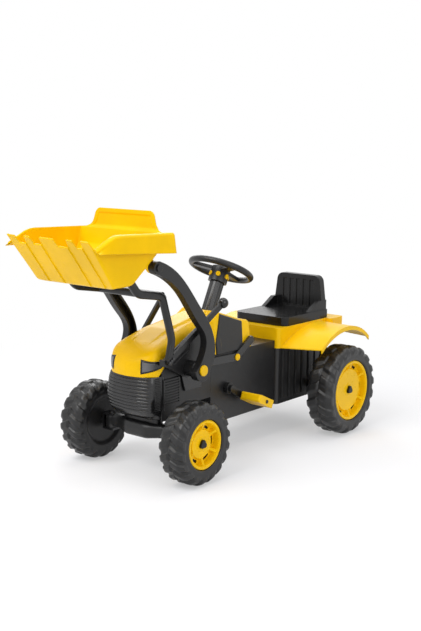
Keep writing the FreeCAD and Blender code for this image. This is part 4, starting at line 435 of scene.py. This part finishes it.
def nose_grid():
    """Nose: columns run along the plan, rows down an upright profile that pushes them out or in along the plan's
    normal. Ridges are arches of the height, with fine ribs behind the corners; the last row closes the chin."""
    plan = softened(spaced(NOSE_PLAN + tuple((x, -y) for x, y in NOSE_PLAN[::-1]), 161), 3)
    heading = np.gradient(plan, axis=0)
    heading /= np.linalg.norm(heading, axis=1)[:, None]
    profile = softened(spaced(NOSE_SWELL, 240), 6)
    swell, z = profile[:, 0][:, None], profile[:, 1][:, None]
    ridged = eased(z, 0.180, 0.184) * (1.0 - eased(z, 0.269, 0.272))
    front = eased(plan[:, 0], 0.426, 0.436)
    strip = eased(plan[:, 0], 0.398, 0.402) * (1.0 - eased(plan[:, 0], 0.418, 0.422))
    arch = np.sqrt(np.abs(np.sin(np.pi * z / RIDGE_PITCH))) - 1.0
    ribs = np.abs(np.sin(np.pi * z / (0.5 * RIDGE_PITCH))) - 1.0
    sides = np.where(z > CHIN_TOP, 0.0, 0.2)
    share = sides + (1.0 - sides) * eased(plan[:, 0], 0.390, 0.432)
    out = swell * share + ridged * (RIDGE_DEPTH * arch * front + RIB_DEPTH * ribs * strip)
    x = plan[:, 0] - heading[:, 1] * out
    y = plan[:, 1] + heading[:, 0] * out
    rows = np.stack([x, y, np.broadcast_to(z, x.shape)], axis=-1)
    return np.concatenate([rows, np.broadcast_to(CHIN_MIDDLE, (1, len(plan), 3))])


nose = skin("nose_skin", [nose_grid() + cowl_back], nose_black)
thicken(nose, NOSE_WALL)
stand_in(nose, "chassis", "grille")


# Steering: a fluted column rises from the cowl and carries the wheel, moulded in black round a steel shaft. Six
# yellow plugs close the hub's sides, and a horn button sits in its top.
dress(["steering_column"], nose_black)
dress(["steering_wheel", "horn_button"], casing_black)


# Seat base and seat: the base is one yellow moulding with both rear fenders. The seat is black, glossier than
# the casings, with a fluted backrest, and four screws hold it down.
seat_black = moulded_plastic("seat_black", grey(0.006), grey(0.014), roughness=0.20, grain_pitch=0.0025,
                             grain_depth=0.0001, corner=0.003, specular=0.30)
dress(["seat_base"], shell_yellow)
dress(["seat"], seat_black)


# Hidden metal: shafts, axle, chain, chain wheels and screws are zinc-plated steel, drawn or turned, and show only at
# their ends. The knuckles and the lever bolts are a darker, blackened steel.
def plated_steel(name, dull, bright):
    """Plated steel: fine marks along the drawn length, and dull clouds where the plating is thicker."""
    material, place = new_finish(name)
    drawn = place.node("ShaderNodeMapping", {}, {"Vector": place, "Scale": (900.0, 40.0, 900.0)})
    lines = drawn.noise(1.0, 3.0)
    cloud = place.noise(60.0, 4.0)
    relief = place.node("ShaderNodeBump", {}, {"Height": lines, "Strength": 0.15, "Distance": 0.0002})
    set_shader(material, {"Base Color": cloud.mix(grey(dull), grey(bright)), "Metallic": 1.0, "Normal": relief,
                          "Roughness": 0.26 + 0.2 * cloud})
    return material


steel = plated_steel("plated_steel", 0.42, 0.62)
dress(["seat_screws", "steering_shaft", "rear_axle", "rear_sprocket", "crank_sprocket", "chain"], steel)
dress(["loader_shaft"], steel)
dress(["lever_bolts", "knuckle_left", "knuckle_right"], plated_steel("dark_steel", 0.05, 0.11))


# Loader: two curved plastic arms swing on a shaft through the brackets. The levers, the tie rod and the
# crank are steel, bent cold and painted black, and each lever ends in a glossy ball.
# The second colour is the paler edge colour: partly wear, partly a painted highlight along the edges.
painted_black = moulded_plastic("painted_black", grey(0.009), grey(0.10), roughness=0.30, grain_pitch=0.0018,
                                grain_depth=0.0002, corner=0.0018, specular=0.42)
ball_black = moulded_plastic("ball_black", grey(0.004), grey(0.006), roughness=0.09, grain_pitch=0.004,
                             grain_depth=0.00002, corner=0.0004, specular=0.5)
dress(["lift_arm_left", "lift_arm_right", "side_plate_left", "side_plate_right"], casing_black)
dress(["tilt_lever", "lift_lever", "tie_rod", "crank", "hinge_pins"], painted_black)
dress(["lift_knob", "tilt_knob"], ball_black)


# Wheels: each is a hollow black plastic tyre, blow-moulded with a chevron tread, with a yellow dished cover
# pressed into its outer side and a small black cap over the axle's end.
LUG_COUNT = 18
LUG_HEIGHT = 0.005
LUG_SLANT = 0.020
SHOULDER = 0.013
BORE = 0.0061
RIM_RADIUS = {"front": 0.0665, "rear": 0.0925}
RIM_LIP = 0.009
RIM_FACE = 0.004
RIM_WALL = 0.0025
GUSSETS = 6
SLOT_HALF = 0.011


def tyre_grid(radius, half, rim):
    """Closed profile of a hollow tyre turned round the axle. Lugs push it out along its own normal: on each half of
    the tread the push is a soft-edged pulse of the angle, which lags with the distance from the tread's middle."""
    tread = radius - LUG_HEIGHT
    flank = half - 0.001
    inner = 0.010 - half
    dish = half - 0.028
    corners = [(BORE, inner), (rim - 0.006, inner), (rim + 0.005, -flank), (tread - SHOULDER, -flank),
               (tread, -flank + SHOULDER), (tread, flank - SHOULDER), (tread - SHOULDER, flank),
               (rim + 0.001, flank), (rim, dish), (BORE, dish), (BORE, inner)]
    profile = softened(spaced(corners, 150), 2)
    walked = np.concatenate([[0.0], np.cumsum(np.linalg.norm(np.diff(profile, axis=0), axis=1))])
    crown = (profile[:, 0] > tread - 0.0005) & (np.abs(profile[:, 1]) < half / 2)
    reach = walked - walked[crown].mean()
    heading = np.gradient(profile, axis=0)
    heading /= np.linalg.norm(heading, axis=1)[:, None]
    angles = np.linspace(0.0, 2 * np.pi, 433)
    out = np.abs(reach)[:, None]
    ends = half + 0.4 * SHOULDER
    lagging = angles - LUG_SLANT * out / half / radius
    phase = (LUG_COUNT / (2 * np.pi) * lagging + 0.5 * (reach[:, None] < 0)) % 1.0
    lug = eased(phase, 0.0, 0.13) * (1.0 - eased(phase, 0.46, 0.78))
    lug = lug * eased(out, 0.0008, 0.0035) * (1.0 - eased(out, ends - 0.004, ends + 0.007))
    outward = np.column_stack([heading[:, 1], -heading[:, 0]])[:, None, :]
    pushed = profile[:, None, :] + LUG_HEIGHT * lug[:, :, None] * outward
    along = np.clip(pushed[:, :, 1], -half, half)
    return np.stack([pushed[:, :, 0] * np.sin(angles), along, pushed[:, :, 0] * np.cos(angles)], axis=-1)


def rim_grid(half, rim):
    """Dished cover turned round the axle: a flat lip, a channel and an inner disc. In six places the channel is
    filled by a gusset, a soft-edged pulse of the angle; between them slots are left open in its floor."""
    face = half - RIM_FACE
    out = rim - 0.0001
    lip = out - RIM_LIP
    disc = lip - 0.019
    middle = lip - 0.009
    corners = [(BORE, -0.012), (0.019, -0.012), (0.021, -0.0135), (disc, -0.0135), (lip - 0.016, -0.0195),
               (lip - 0.004, -0.0195), (lip - 0.0005, -0.004), (lip + 0.002, 0.0), (out - 0.002, 0.0),
               (out, -0.002), (out, -0.021)]
    flat = softened(spaced(corners, 120), 1)
    bridge = np.interp(flat[:, 0], [disc, lip], [-0.0132, -0.0045])
    angles = np.linspace(0.0, 2 * np.pi, 289)
    step = 2 * np.pi / GUSSETS
    off = np.abs((angles + step / 2) % step - step / 2) * middle
    gusset = 1.0 - eased(off, 0.0035, 0.0060)
    channel = (flat[:, 0] > disc) & (flat[:, 0] < lip)
    lift = np.where(channel, np.maximum(bridge - flat[:, 1], 0.0), 0.0)[:, None] * gusset
    along = face + flat[:, 1][:, None] + lift
    radius = flat[:, 0][:, None]
    grid = np.stack([radius * np.sin(angles), along, radius * np.cos(angles)], axis=-1)
    floor = (flat[:, 0] > lip - 0.0145) & (flat[:, 0] < lip - 0.0065)
    open_arc = off > step / 2 * middle - SLOT_HALF
    return grid, floor[:-1, None] & open_arc[None, :-1]


def box_of(node):
    """Middle and half size of a CAD node's box."""
    low, high = np.array(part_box(node))
    return (low + high) / 2, (high - low) / 2


tyre_black = moulded_plastic("tyre_black", grey(0.011), grey(0.026), roughness=0.38, grain_pitch=0.0014,
                             grain_depth=0.0003, corner=0.0015, specular=0.45)
rim_yellow = moulded_plastic("rim_yellow", YELLOW, PALE_YELLOW, roughness=0.30, grain_pitch=0.0016,
                             grain_depth=0.0001, corner=0.0012, specular=0.35, sheen=WARM)
WHEEL_BODY = {"front_left": "front_wheel_left", "front_right": "front_wheel_right",
              "rear_left": "rear_wheel_left", "rear_right": "rear_drive"}
for end in ("front", "rear"):
    for side, sign in (("left", 1.0), ("right", -1.0)):
        hub, half_size = box_of(f"{end}_tyre_{side}")
        half, radius = half_size[1:]
        mirror = np.array([1.0, sign, 1.0])
        body = WHEEL_BODY[f"{end}_{side}"]
        grid = tyre_grid(radius, half, RIM_RADIUS[end])
        tyre = skin(f"{end}_tyre_{side}_skin", [grid * mirror + hub], tyre_black)
        stand_in(tyre, body, f"{end}_tyre_{side}")
        grid, slots = rim_grid(half, RIM_RADIUS[end])
        rim = skin(f"{end}_rim_{side}_skin", [grid * mirror + hub], rim_yellow, [slots])
        thicken(rim, RIM_WALL)
        stand_in(rim, body, f"{end}_rim_{side}")
        dress([f"{end}_hub_cap_{side}"], seat_black)


# Bucket: one yellow moulding with a stepped front plate, a toothed lip, flanged sides and a spill guard at its
# back. It hangs on two pins through the arms' tips.
BUCKET_WALL = 0.003
GUARD_WALL = 0.004
RIM_BACK = 0.027
LIP_OUT = 0.271
CREST_OUT = 0.210
RIM_RISE = 0.129
LIP_RISE = 0.105
FLOOR_HALF_WIDTH = 0.139
RIM_HALF_WIDTH = 0.151
TOOTH_HEIGHT = 0.0225
TEETH = ((-0.1505, -0.1170), (-0.0850, -0.0640), (-0.0280, 0.0225), (0.0660, 0.0880), (0.1160, 0.1440))
TOOTH_FLARE = 0.005
STEP_DEPTH = 0.0028
FLANGE_OUT = 0.0168
FLANGE_DROP = 0.052
FLOOR_SHARE = 0.72
BACK_WALL = ((RIM_BACK, RIM_RISE), (0.040, 0.081), (0.138, 0.0), (0.171, 0.0))
FRONT_WALL = ((LIP_OUT, LIP_RISE), (0.192, 0.0), (0.171, 0.0))
GUARD_HEIGHT = 0.052
GUARD_HALF = 0.1155
GUARD_CORNER = 0.016
PIN = (0.052, 0.043)
LUG_RADIUS = 0.015
LUG_REACH = 0.0225
LUG_FACES = (0.122, 0.1325)
LUG_EDGE = 0.002
WALL_NORMAL = (0.637, 0.771)


def rim_height(out):
    """Height of the side walls' upper edge along the bucket: level at the back, a low crest, down to the lip."""
    corners = [(0.0, RIM_RISE), (CREST_OUT, RIM_RISE + 0.006), (LIP_OUT, LIP_RISE)]
    return np.interp(out, *softened(spaced(corners, 90), 6).T)


def tooth_height(across):
    """Rise of the lip at a place across the bucket: a plateau at each tooth, with sides that lean outwards."""
    rise = np.zeros_like(across)
    for left, right in TEETH:
        ramp = np.minimum(eased(across, left - TOOTH_FLARE, left + 0.001),
                          1.0 - eased(across, right - 0.001, right + TOOTH_FLARE))
        rise = np.maximum(rise, ramp)
    return rise


def bucket_grid():
    """Tub: columns run round a rounded oblong, rows from the lip's teeth down the walls and in over the floor to its
    middle. The front plate is pushed out in slanted shingles that step back at the root of each tooth."""
    drop = np.linspace(0.0, 1.0, 60)
    back_knots = [0.0, 0.33, FLOOR_SHARE, 1.0]
    knots = [0.0, FLOOR_SHARE, 1.0]
    back = np.column_stack([np.interp(drop, back_knots, column) for column in np.transpose(BACK_WALL)])
    front = np.column_stack([np.interp(drop, knots, column) for column in np.transpose(FRONT_WALL)])
    wide = np.interp(drop, knots, [RIM_HALF_WIDTH, FLOOR_HALF_WIDTH, 0.0])
    paths = softened(np.column_stack([back, front, wide]), 3)
    back, front, wide = paths[:, 0:2], paths[:, 2:4], paths[:, 4]
    oblong = spaced([(0.5, 1.0), (1.0, 1.0), (1.0, -1.0), (0.0, -1.0), (0.0, 1.0), (0.5, 1.0)], 721)
    ahead, across = softened(oblong, 5).T
    x = back[:, 0][:, None] + (front - back)[:, 0][:, None] * ahead
    z = back[:, 1][:, None] + (front - back)[:, 1][:, None] * ahead
    y = wide[:, None] * across
    walls = np.clip(1.0 - drop / FLOOR_SHARE, 0.0, 1.0)[:, None]
    z = z + (rim_height(x[0]) - z[0]) * walls ** 2 * eased(np.abs(across), 0.9, 1.0)
    plate = eased(ahead, 0.9, 0.985) * eased(1.0 - drop[:, None], 0.26, 0.30)
    slope = (front[1] - front[0]) / np.linalg.norm(front[1] - front[0])
    shingle = np.zeros_like(y)
    edges = [-0.152] + [left - TOOTH_FLARE for left, right in TEETH[1:]] + [0.153]
    for left, right in zip(edges[:-1], edges[1:]):
        inside = (y >= left) & (y < right)
        shingle = np.where(inside, (y - left) / (right - left), shingle)
    push = STEP_DEPTH * shingle * plate
    x = x - push * slope[1]
    z = z + push * slope[0]
    teeth = tooth_height(y[0]) * eased(ahead, 0.93, 0.985)
    rises = np.linspace(1.0, 0.0, 9)[:-1, None]
    raised = rises * TOOTH_HEIGHT * teeth
    lip_x = x[0] - raised * slope[0]
    lip_z = z[0] - raised * slope[1]
    lip_y = np.repeat(y[:1], len(rises), axis=0)
    return np.stack([np.vstack([lip_x, x]), np.vstack([lip_y, y]), np.vstack([lip_z, z])], axis=-1)


def flange_grid():
    """Left flange: rows run along the rim from the lip's corner to the back, columns over a rounded edge and down.
    The hem is straight, and the first row closes the end at the lip's corner."""
    out = np.linspace(LIP_OUT, 0.0, 90)[:, None]
    turn = np.linspace(0.0, np.pi / 2, 12)
    over = np.concatenate([np.sin(turn) * 0.011, np.full(20, 0.011)])
    lift = np.concatenate([(np.cos(turn) - 1.0) * 0.009, np.full(20, -0.009)])
    fall = np.concatenate([np.zeros(12), np.linspace(0.0, 1.0, 21)[1:]])
    hem = np.interp(LIP_OUT - out, [0.0, LIP_OUT], [LIP_RISE - 0.010, RIM_RISE - FLANGE_DROP])
    y = RIM_HALF_WIDTH - 0.001 + over + (FLANGE_OUT - 0.010) * fall
    edge = rim_height(out) + lift
    z = edge + fall * (hem - edge)
    x, y = np.broadcast_arrays(out, y, z)[:2]
    end = np.broadcast_to([LIP_OUT, RIM_HALF_WIDTH - 0.002, LIP_RISE - 0.004], (1, len(over), 3))
    return np.concatenate([end, np.stack([x, y, z], axis=-1)])


def guard_grid():
    """Spill guard: rows rise from the rim's back edge, step back and lean back. The half width flares at the foot,
    leans in and rounds over at the top; a panel inside the border is sunk."""
    rise = np.linspace(-0.008, GUARD_HEIGHT, 40)[:, None]
    across = np.linspace(-1.0, 1.0, 160)
    foot = 0.026 * np.exp(-np.maximum(rise, 0.0) / 0.006)
    corner = np.clip(1.0 - (GUARD_HEIGHT - rise) / GUARD_CORNER, 0.0, 1.0)
    rounding = 0.014 * (1.0 - np.sqrt(1.0 - 0.98 * corner ** 2))
    half = GUARD_HALF - 0.26 * np.maximum(rise, 0.0) + foot - rounding
    y = half * across
    border = np.minimum(half - np.abs(y), GUARD_HEIGHT - rise)
    sunk = eased(border, 0.011, 0.014) * eased(rise, 0.002, 0.006)
    leaning = 0.011 * eased(rise, -0.008, 0.010) + 0.08 * np.maximum(rise, 0.0)
    x = RIM_BACK + GUARD_WALL - leaning - 0.0016 * sunk
    return np.stack([np.broadcast_to(x, y.shape), y, np.broadcast_to(RIM_RISE + rise, y.shape)], axis=-1)


def lug_outline():
    """Outline of a lug: half a circle round the pin, then straight sides to the bucket's back wall."""
    turn = np.linspace(0.0, 2 * np.pi, 65)
    towards, aside = np.cos(turn), np.sin(turn)
    out = np.where(towards > 0, LUG_REACH * np.minimum(1.42 * towards, 1.0), LUG_RADIUS * towards)
    beside = LUG_RADIUS * np.where(towards > 0, np.clip(1.42 * aside, -1.0, 1.0), aside)
    return np.column_stack([PIN[0] + WALL_NORMAL[0] * out + WALL_NORMAL[1] * beside,
                            PIN[1] + WALL_NORMAL[1] * out - WALL_NORMAL[0] * beside])


def slab_grid(outline, y0, y1, edge):
    """Flat plate with rounded edges: rows run from one face's middle out over the edge to the other's."""
    middle = outline.mean(axis=0)
    turn = np.linspace(0.0, np.pi / 2, 5)
    spread = np.linalg.norm(outline - middle, axis=1)[:, None]
    far = [-spread.max()]
    out = np.concatenate([far, edge * (np.sin(turn) - 1.0), edge * (np.cos(turn) - 1.0), far])
    along = np.concatenate([[y0], y0 + edge * (1.0 - np.cos(turn)), y1 - edge * (1.0 - np.sin(turn)), [y1]])
    shrink = np.clip(1.0 + out[:, None] / spread[:, 0], 0.0, 1.0)
    flat = middle + shrink[:, :, None] * (outline - middle)
    return np.stack([flat[:, :, 0], np.repeat(along[:, None], len(outline), axis=1), flat[:, :, 1]], axis=-1)


bucket_corner = np.array(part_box("bucket")[0]) * [1.0, 0.0, 1.0]
bucket_yellow = moulded_plastic("bucket_yellow", YELLOW, PALE_YELLOW, roughness=0.33, grain_pitch=0.0018,
                                grain_depth=0.00015, corner=0.0015, specular=0.20, sheen=WARM)
flange = flange_grid()
sheet_grids = [grid + bucket_corner for grid in (bucket_grid(), flange, flange * other_side)]
sheets = skin("bucket_sheets", sheet_grids, bucket_yellow)
thicken(sheets, BUCKET_WALL)
stand_in(sheets, "scoop", "bucket")
guard = skin("bucket_guard", [guard_grid() + bucket_corner], bucket_yellow)
thicken(guard, GUARD_WALL)
stand_in(guard, "scoop", "bucket")
lug = slab_grid(lug_outline(), *LUG_FACES, LUG_EDGE)
lugs = skin("bucket_lugs", [lug + bucket_corner, lug * other_side + bucket_corner], bucket_yellow)
stand_in(lugs, "scoop", "bucket")


# Tilt frame: one bent and welded steel tube behind the bucket, painted black: two bars forward to the bucket, a
# cross bar between them and a leg on the left that ends at the tilt lever.
TUBE_WIDE = 0.008
TUBE_TALL = 0.011
FRAME_OUT = 0.1125
FRAME_ROUTE = ((0.093, 0.035), (0.079, 0.090), (0.118, 0.210), (0.209, 0.225), (0.239, 0.261))
AHEAD = np.array([1.0, 0.0, 0.0])
SIDEWAYS = np.array([0.0, 1.0, 0.0])


def sweep_grid(path, side, wide, tall):
    """Tube along a path: each row is an oval across the path, wide along the side and tall across both. The ends
    close to a point."""
    heading = np.gradient(path, axis=0)
    heading /= np.linalg.norm(heading, axis=1)[:, None]
    across = np.cross(heading, side)
    turn = np.linspace(0.0, 2 * np.pi, 33)
    ring = np.array([np.sign(np.cos(turn)) * np.abs(np.cos(turn)) ** 0.75,
                     np.sign(np.sin(turn)) * np.abs(np.sin(turn)) ** 0.75])
    aside = (wide * ring[0])[..., None] * side
    above = (tall * ring[1])[..., None] * across[:, None, :]
    rows = path[:, None, :] + aside + above
    first = np.repeat(path[:1, None, :], len(turn), axis=1)
    last = np.repeat(path[-1:, None, :], len(turn), axis=1)
    return np.concatenate([first, rows, last])


pivot = box_of("pivot_caps")[0] * [1.0, 0.0, 1.0]
left_route = [(x, FRAME_OUT, z) for x, z in FRAME_ROUTE]
right_route = [(x, -FRAME_OUT, z) for x, z in FRAME_ROUTE[2:]]
leg = sweep_grid(softened(spaced(left_route, 160), 7), SIDEWAYS, TUBE_WIDE, TUBE_TALL)
bar = sweep_grid(softened(spaced(right_route, 70), 7), SIDEWAYS, TUBE_WIDE, TUBE_TALL)
cross = sweep_grid(spaced([right_route[0], left_route[2]], 12), AHEAD, TUBE_TALL, TUBE_TALL)
tilt_frame = skin("tilt_frame_tube", [leg + pivot, bar + pivot, cross + pivot], painted_black)
stand_in(tilt_frame, "scoop", "tilt_frame")


# Front axle: a thick black moulded beam under the chin, swollen in its middle, with a neck that is screwed up into
# the engine body and an upright boss for each kingpin.
KINGPIN_OUT = 0.118
BEAM_HEIGHT = 0.1205
BEAM_BOW = 0.014
BEAM_WIDE = 0.0165
BEAM_TALL = 0.0195
NECK_ENDS = (0.112, 0.181)
NECK_SIZE = (0.022, 0.066)
BOSS_ENDS = (0.0985, 0.1315)

axle_x = box_of("front_tyre_left")[0][0]
across = np.linspace(-1.0, 1.0, 61)
swollen = (1.0 - eased(np.abs(across), 0.25, 0.75))[:, None]
beam_path = np.column_stack([axle_x + BEAM_BOW * swollen, KINGPIN_OUT * across, np.full(61, BEAM_HEIGHT)])
beam = sweep_grid(beam_path, AHEAD, BEAM_WIDE + 0.009 * swollen, BEAM_TALL + 0.004 * swollen)
neck = sweep_grid(spaced([(axle_x, 0.0, z) for z in NECK_ENDS], 20), AHEAD, *NECK_SIZE)
boss_path = spaced([(axle_x, KINGPIN_OUT, z) for z in BOSS_ENDS], 12)
boss = sweep_grid(boss_path, AHEAD, BEAM_WIDE, BEAM_WIDE)
axle_beam = skin("front_axle_skin", [beam, neck, boss, boss * other_side], casing_black)
stand_in(axle_beam, "chassis", "front_axle_beam")


# Studio: a pale floor that fades to white round the object, broad soft lamps, and the camera where the
# photograph was taken, about three metres in front of the left front wheel.
FLOOR_HALF = 8.0
CAMERA_OUT = (2.6694, 1.8623, 0.8962)
CAMERA_AZIMUTH = math.radians(39.222)
CAMERA_FALL = math.radians(9.709)
CAMERA_ROLL = math.radians(0.522)
FOCAL_PIXELS = 1025.26
IMAGE_HEIGHT = 631
SENSOR = 36.0
LAMP_AIM = (0.0, 0.0, 0.35)


def seen_ray(place):
    """1 for rays from the camera, or through a reflection or glass; 0 for the light that falls on things."""
    path = place.tree.nodes.new("ShaderNodeLightPath")
    kinds = ("Is Camera Ray", "Is Glossy Ray", "Is Transmission Ray")
    seen, mirrored, through = (Wire(place.tree, path.outputs[kind]) for kind in kinds)
    return place.maths("MINIMUM", seen + mirrored + through, 1.0)


def floor_finish():
    """Pale matt floor that turns to plain white away from the object."""
    material, place = new_finish("studio_floor")
    away = place.node("ShaderNodeVectorMath", {"operation": "LENGTH"}, {0: place}, "Value")
    glow = place.node("ShaderNodeEmission", {}, {"Strength": 1.0})
    set_shader(material, {"Base Color": grey(0.86), "Roughness": 0.9})
    tree = material.node_tree
    matt = Wire(tree, tree.nodes["Principled BSDF"].outputs[0])
    share = seen_ray(place) * (0.4 + 0.6 * away.step(0.75, 1.7))
    both = place.node("ShaderNodeMixShader", {}, {0: share, 1: matt, 2: glow})
    tree.links.new(both.socket, tree.nodes["Material Output"].inputs["Surface"])
    return material


def soft_lamp(name, place, aim, size, power):
    """Square area lamp that faces the aim."""
    lamp = bpy.data.lights.new(name, "AREA")
    lamp.shape = "SQUARE"
    lamp.size = size
    lamp.energy = power
    holder = bpy.data.objects.new(name, lamp)
    bpy.context.scene.collection.objects.link(holder)
    way = np.array(aim) - np.array(place)
    heading = math.atan2(way[1], way[0])
    fall = math.atan2(-way[2], math.hypot(way[0], way[1]))
    holder.location = place
    holder.rotation_euler = (math.pi / 2 - fall, 0.0, heading - math.pi / 2)


floor_mesh = bpy.data.meshes.new("studio_floor")
corners = [(-FLOOR_HALF, -FLOOR_HALF, 0.0), (FLOOR_HALF, -FLOOR_HALF, 0.0), (FLOOR_HALF, FLOOR_HALF, 0.0),
           (-FLOOR_HALF, FLOOR_HALF, 0.0)]
floor_mesh.from_pydata(corners, [], [(0, 1, 2, 3)])
floor_mesh.materials.append(floor_finish())
studio_floor = bpy.data.objects.new("studio_floor", floor_mesh)
bpy.context.scene.collection.objects.link(studio_floor)

soft_lamp("key_lamp", (2.2, -0.4, 2.8), LAMP_AIM, size=2.2, power=80.0)
soft_lamp("fill_lamp", (0.6, 3.2, 1.8), LAMP_AIM, size=2.5, power=36.0)
soft_lamp("top_lamp", (-0.6, 0.2, 3.2), LAMP_AIM, size=2.5, power=28.0)
soft_lamp("back_lamp", (-1.8, -2.0, 1.95), LAMP_AIM, size=1.6, power=22.0)

world = bpy.data.worlds.new("studio")
world.use_nodes = True
world_tree = world.node_tree
background = world_tree.nodes["Background"]
background.inputs["Color"].default_value = WHITE
sky = Wire(world_tree, background.outputs[0])
brightness = 0.46 + 0.54 * seen_ray(sky)
world_tree.links.new(brightness.socket, background.inputs["Strength"])
bpy.context.scene.world = world

camera = bpy.data.cameras.new("camera")
camera.sensor_fit = "AUTO"
camera.sensor_width = SENSOR
camera.lens = FOCAL_PIXELS * SENSOR / IMAGE_HEIGHT
eye = bpy.data.objects.new("camera", camera)
forward = np.array([-math.cos(CAMERA_FALL) * math.cos(CAMERA_AZIMUTH),
                    -math.cos(CAMERA_FALL) * math.sin(CAMERA_AZIMUTH), -math.sin(CAMERA_FALL)])
level = np.array([-math.sin(CAMERA_AZIMUTH), math.cos(CAMERA_AZIMUTH), 0.0])
rise = np.cross(level, forward)
right = math.cos(CAMERA_ROLL) * level + math.sin(CAMERA_ROLL) * rise
up = np.cross(right, forward)
camera_place = CAMERA_OUT + box_of("rear_tyre_left")[0] * [1.0, 0.0, 0.0]
columns = np.column_stack([right, up, -forward, camera_place])
eye.matrix_world = mathutils.Matrix(np.vstack([columns, [0.0, 0.0, 0.0, 1.0]]))
bpy.context.scene.collection.objects.link(eye)
bpy.context.scene.camera = eye
bpy.context.scene.view_settings.view_transform = "Standard"
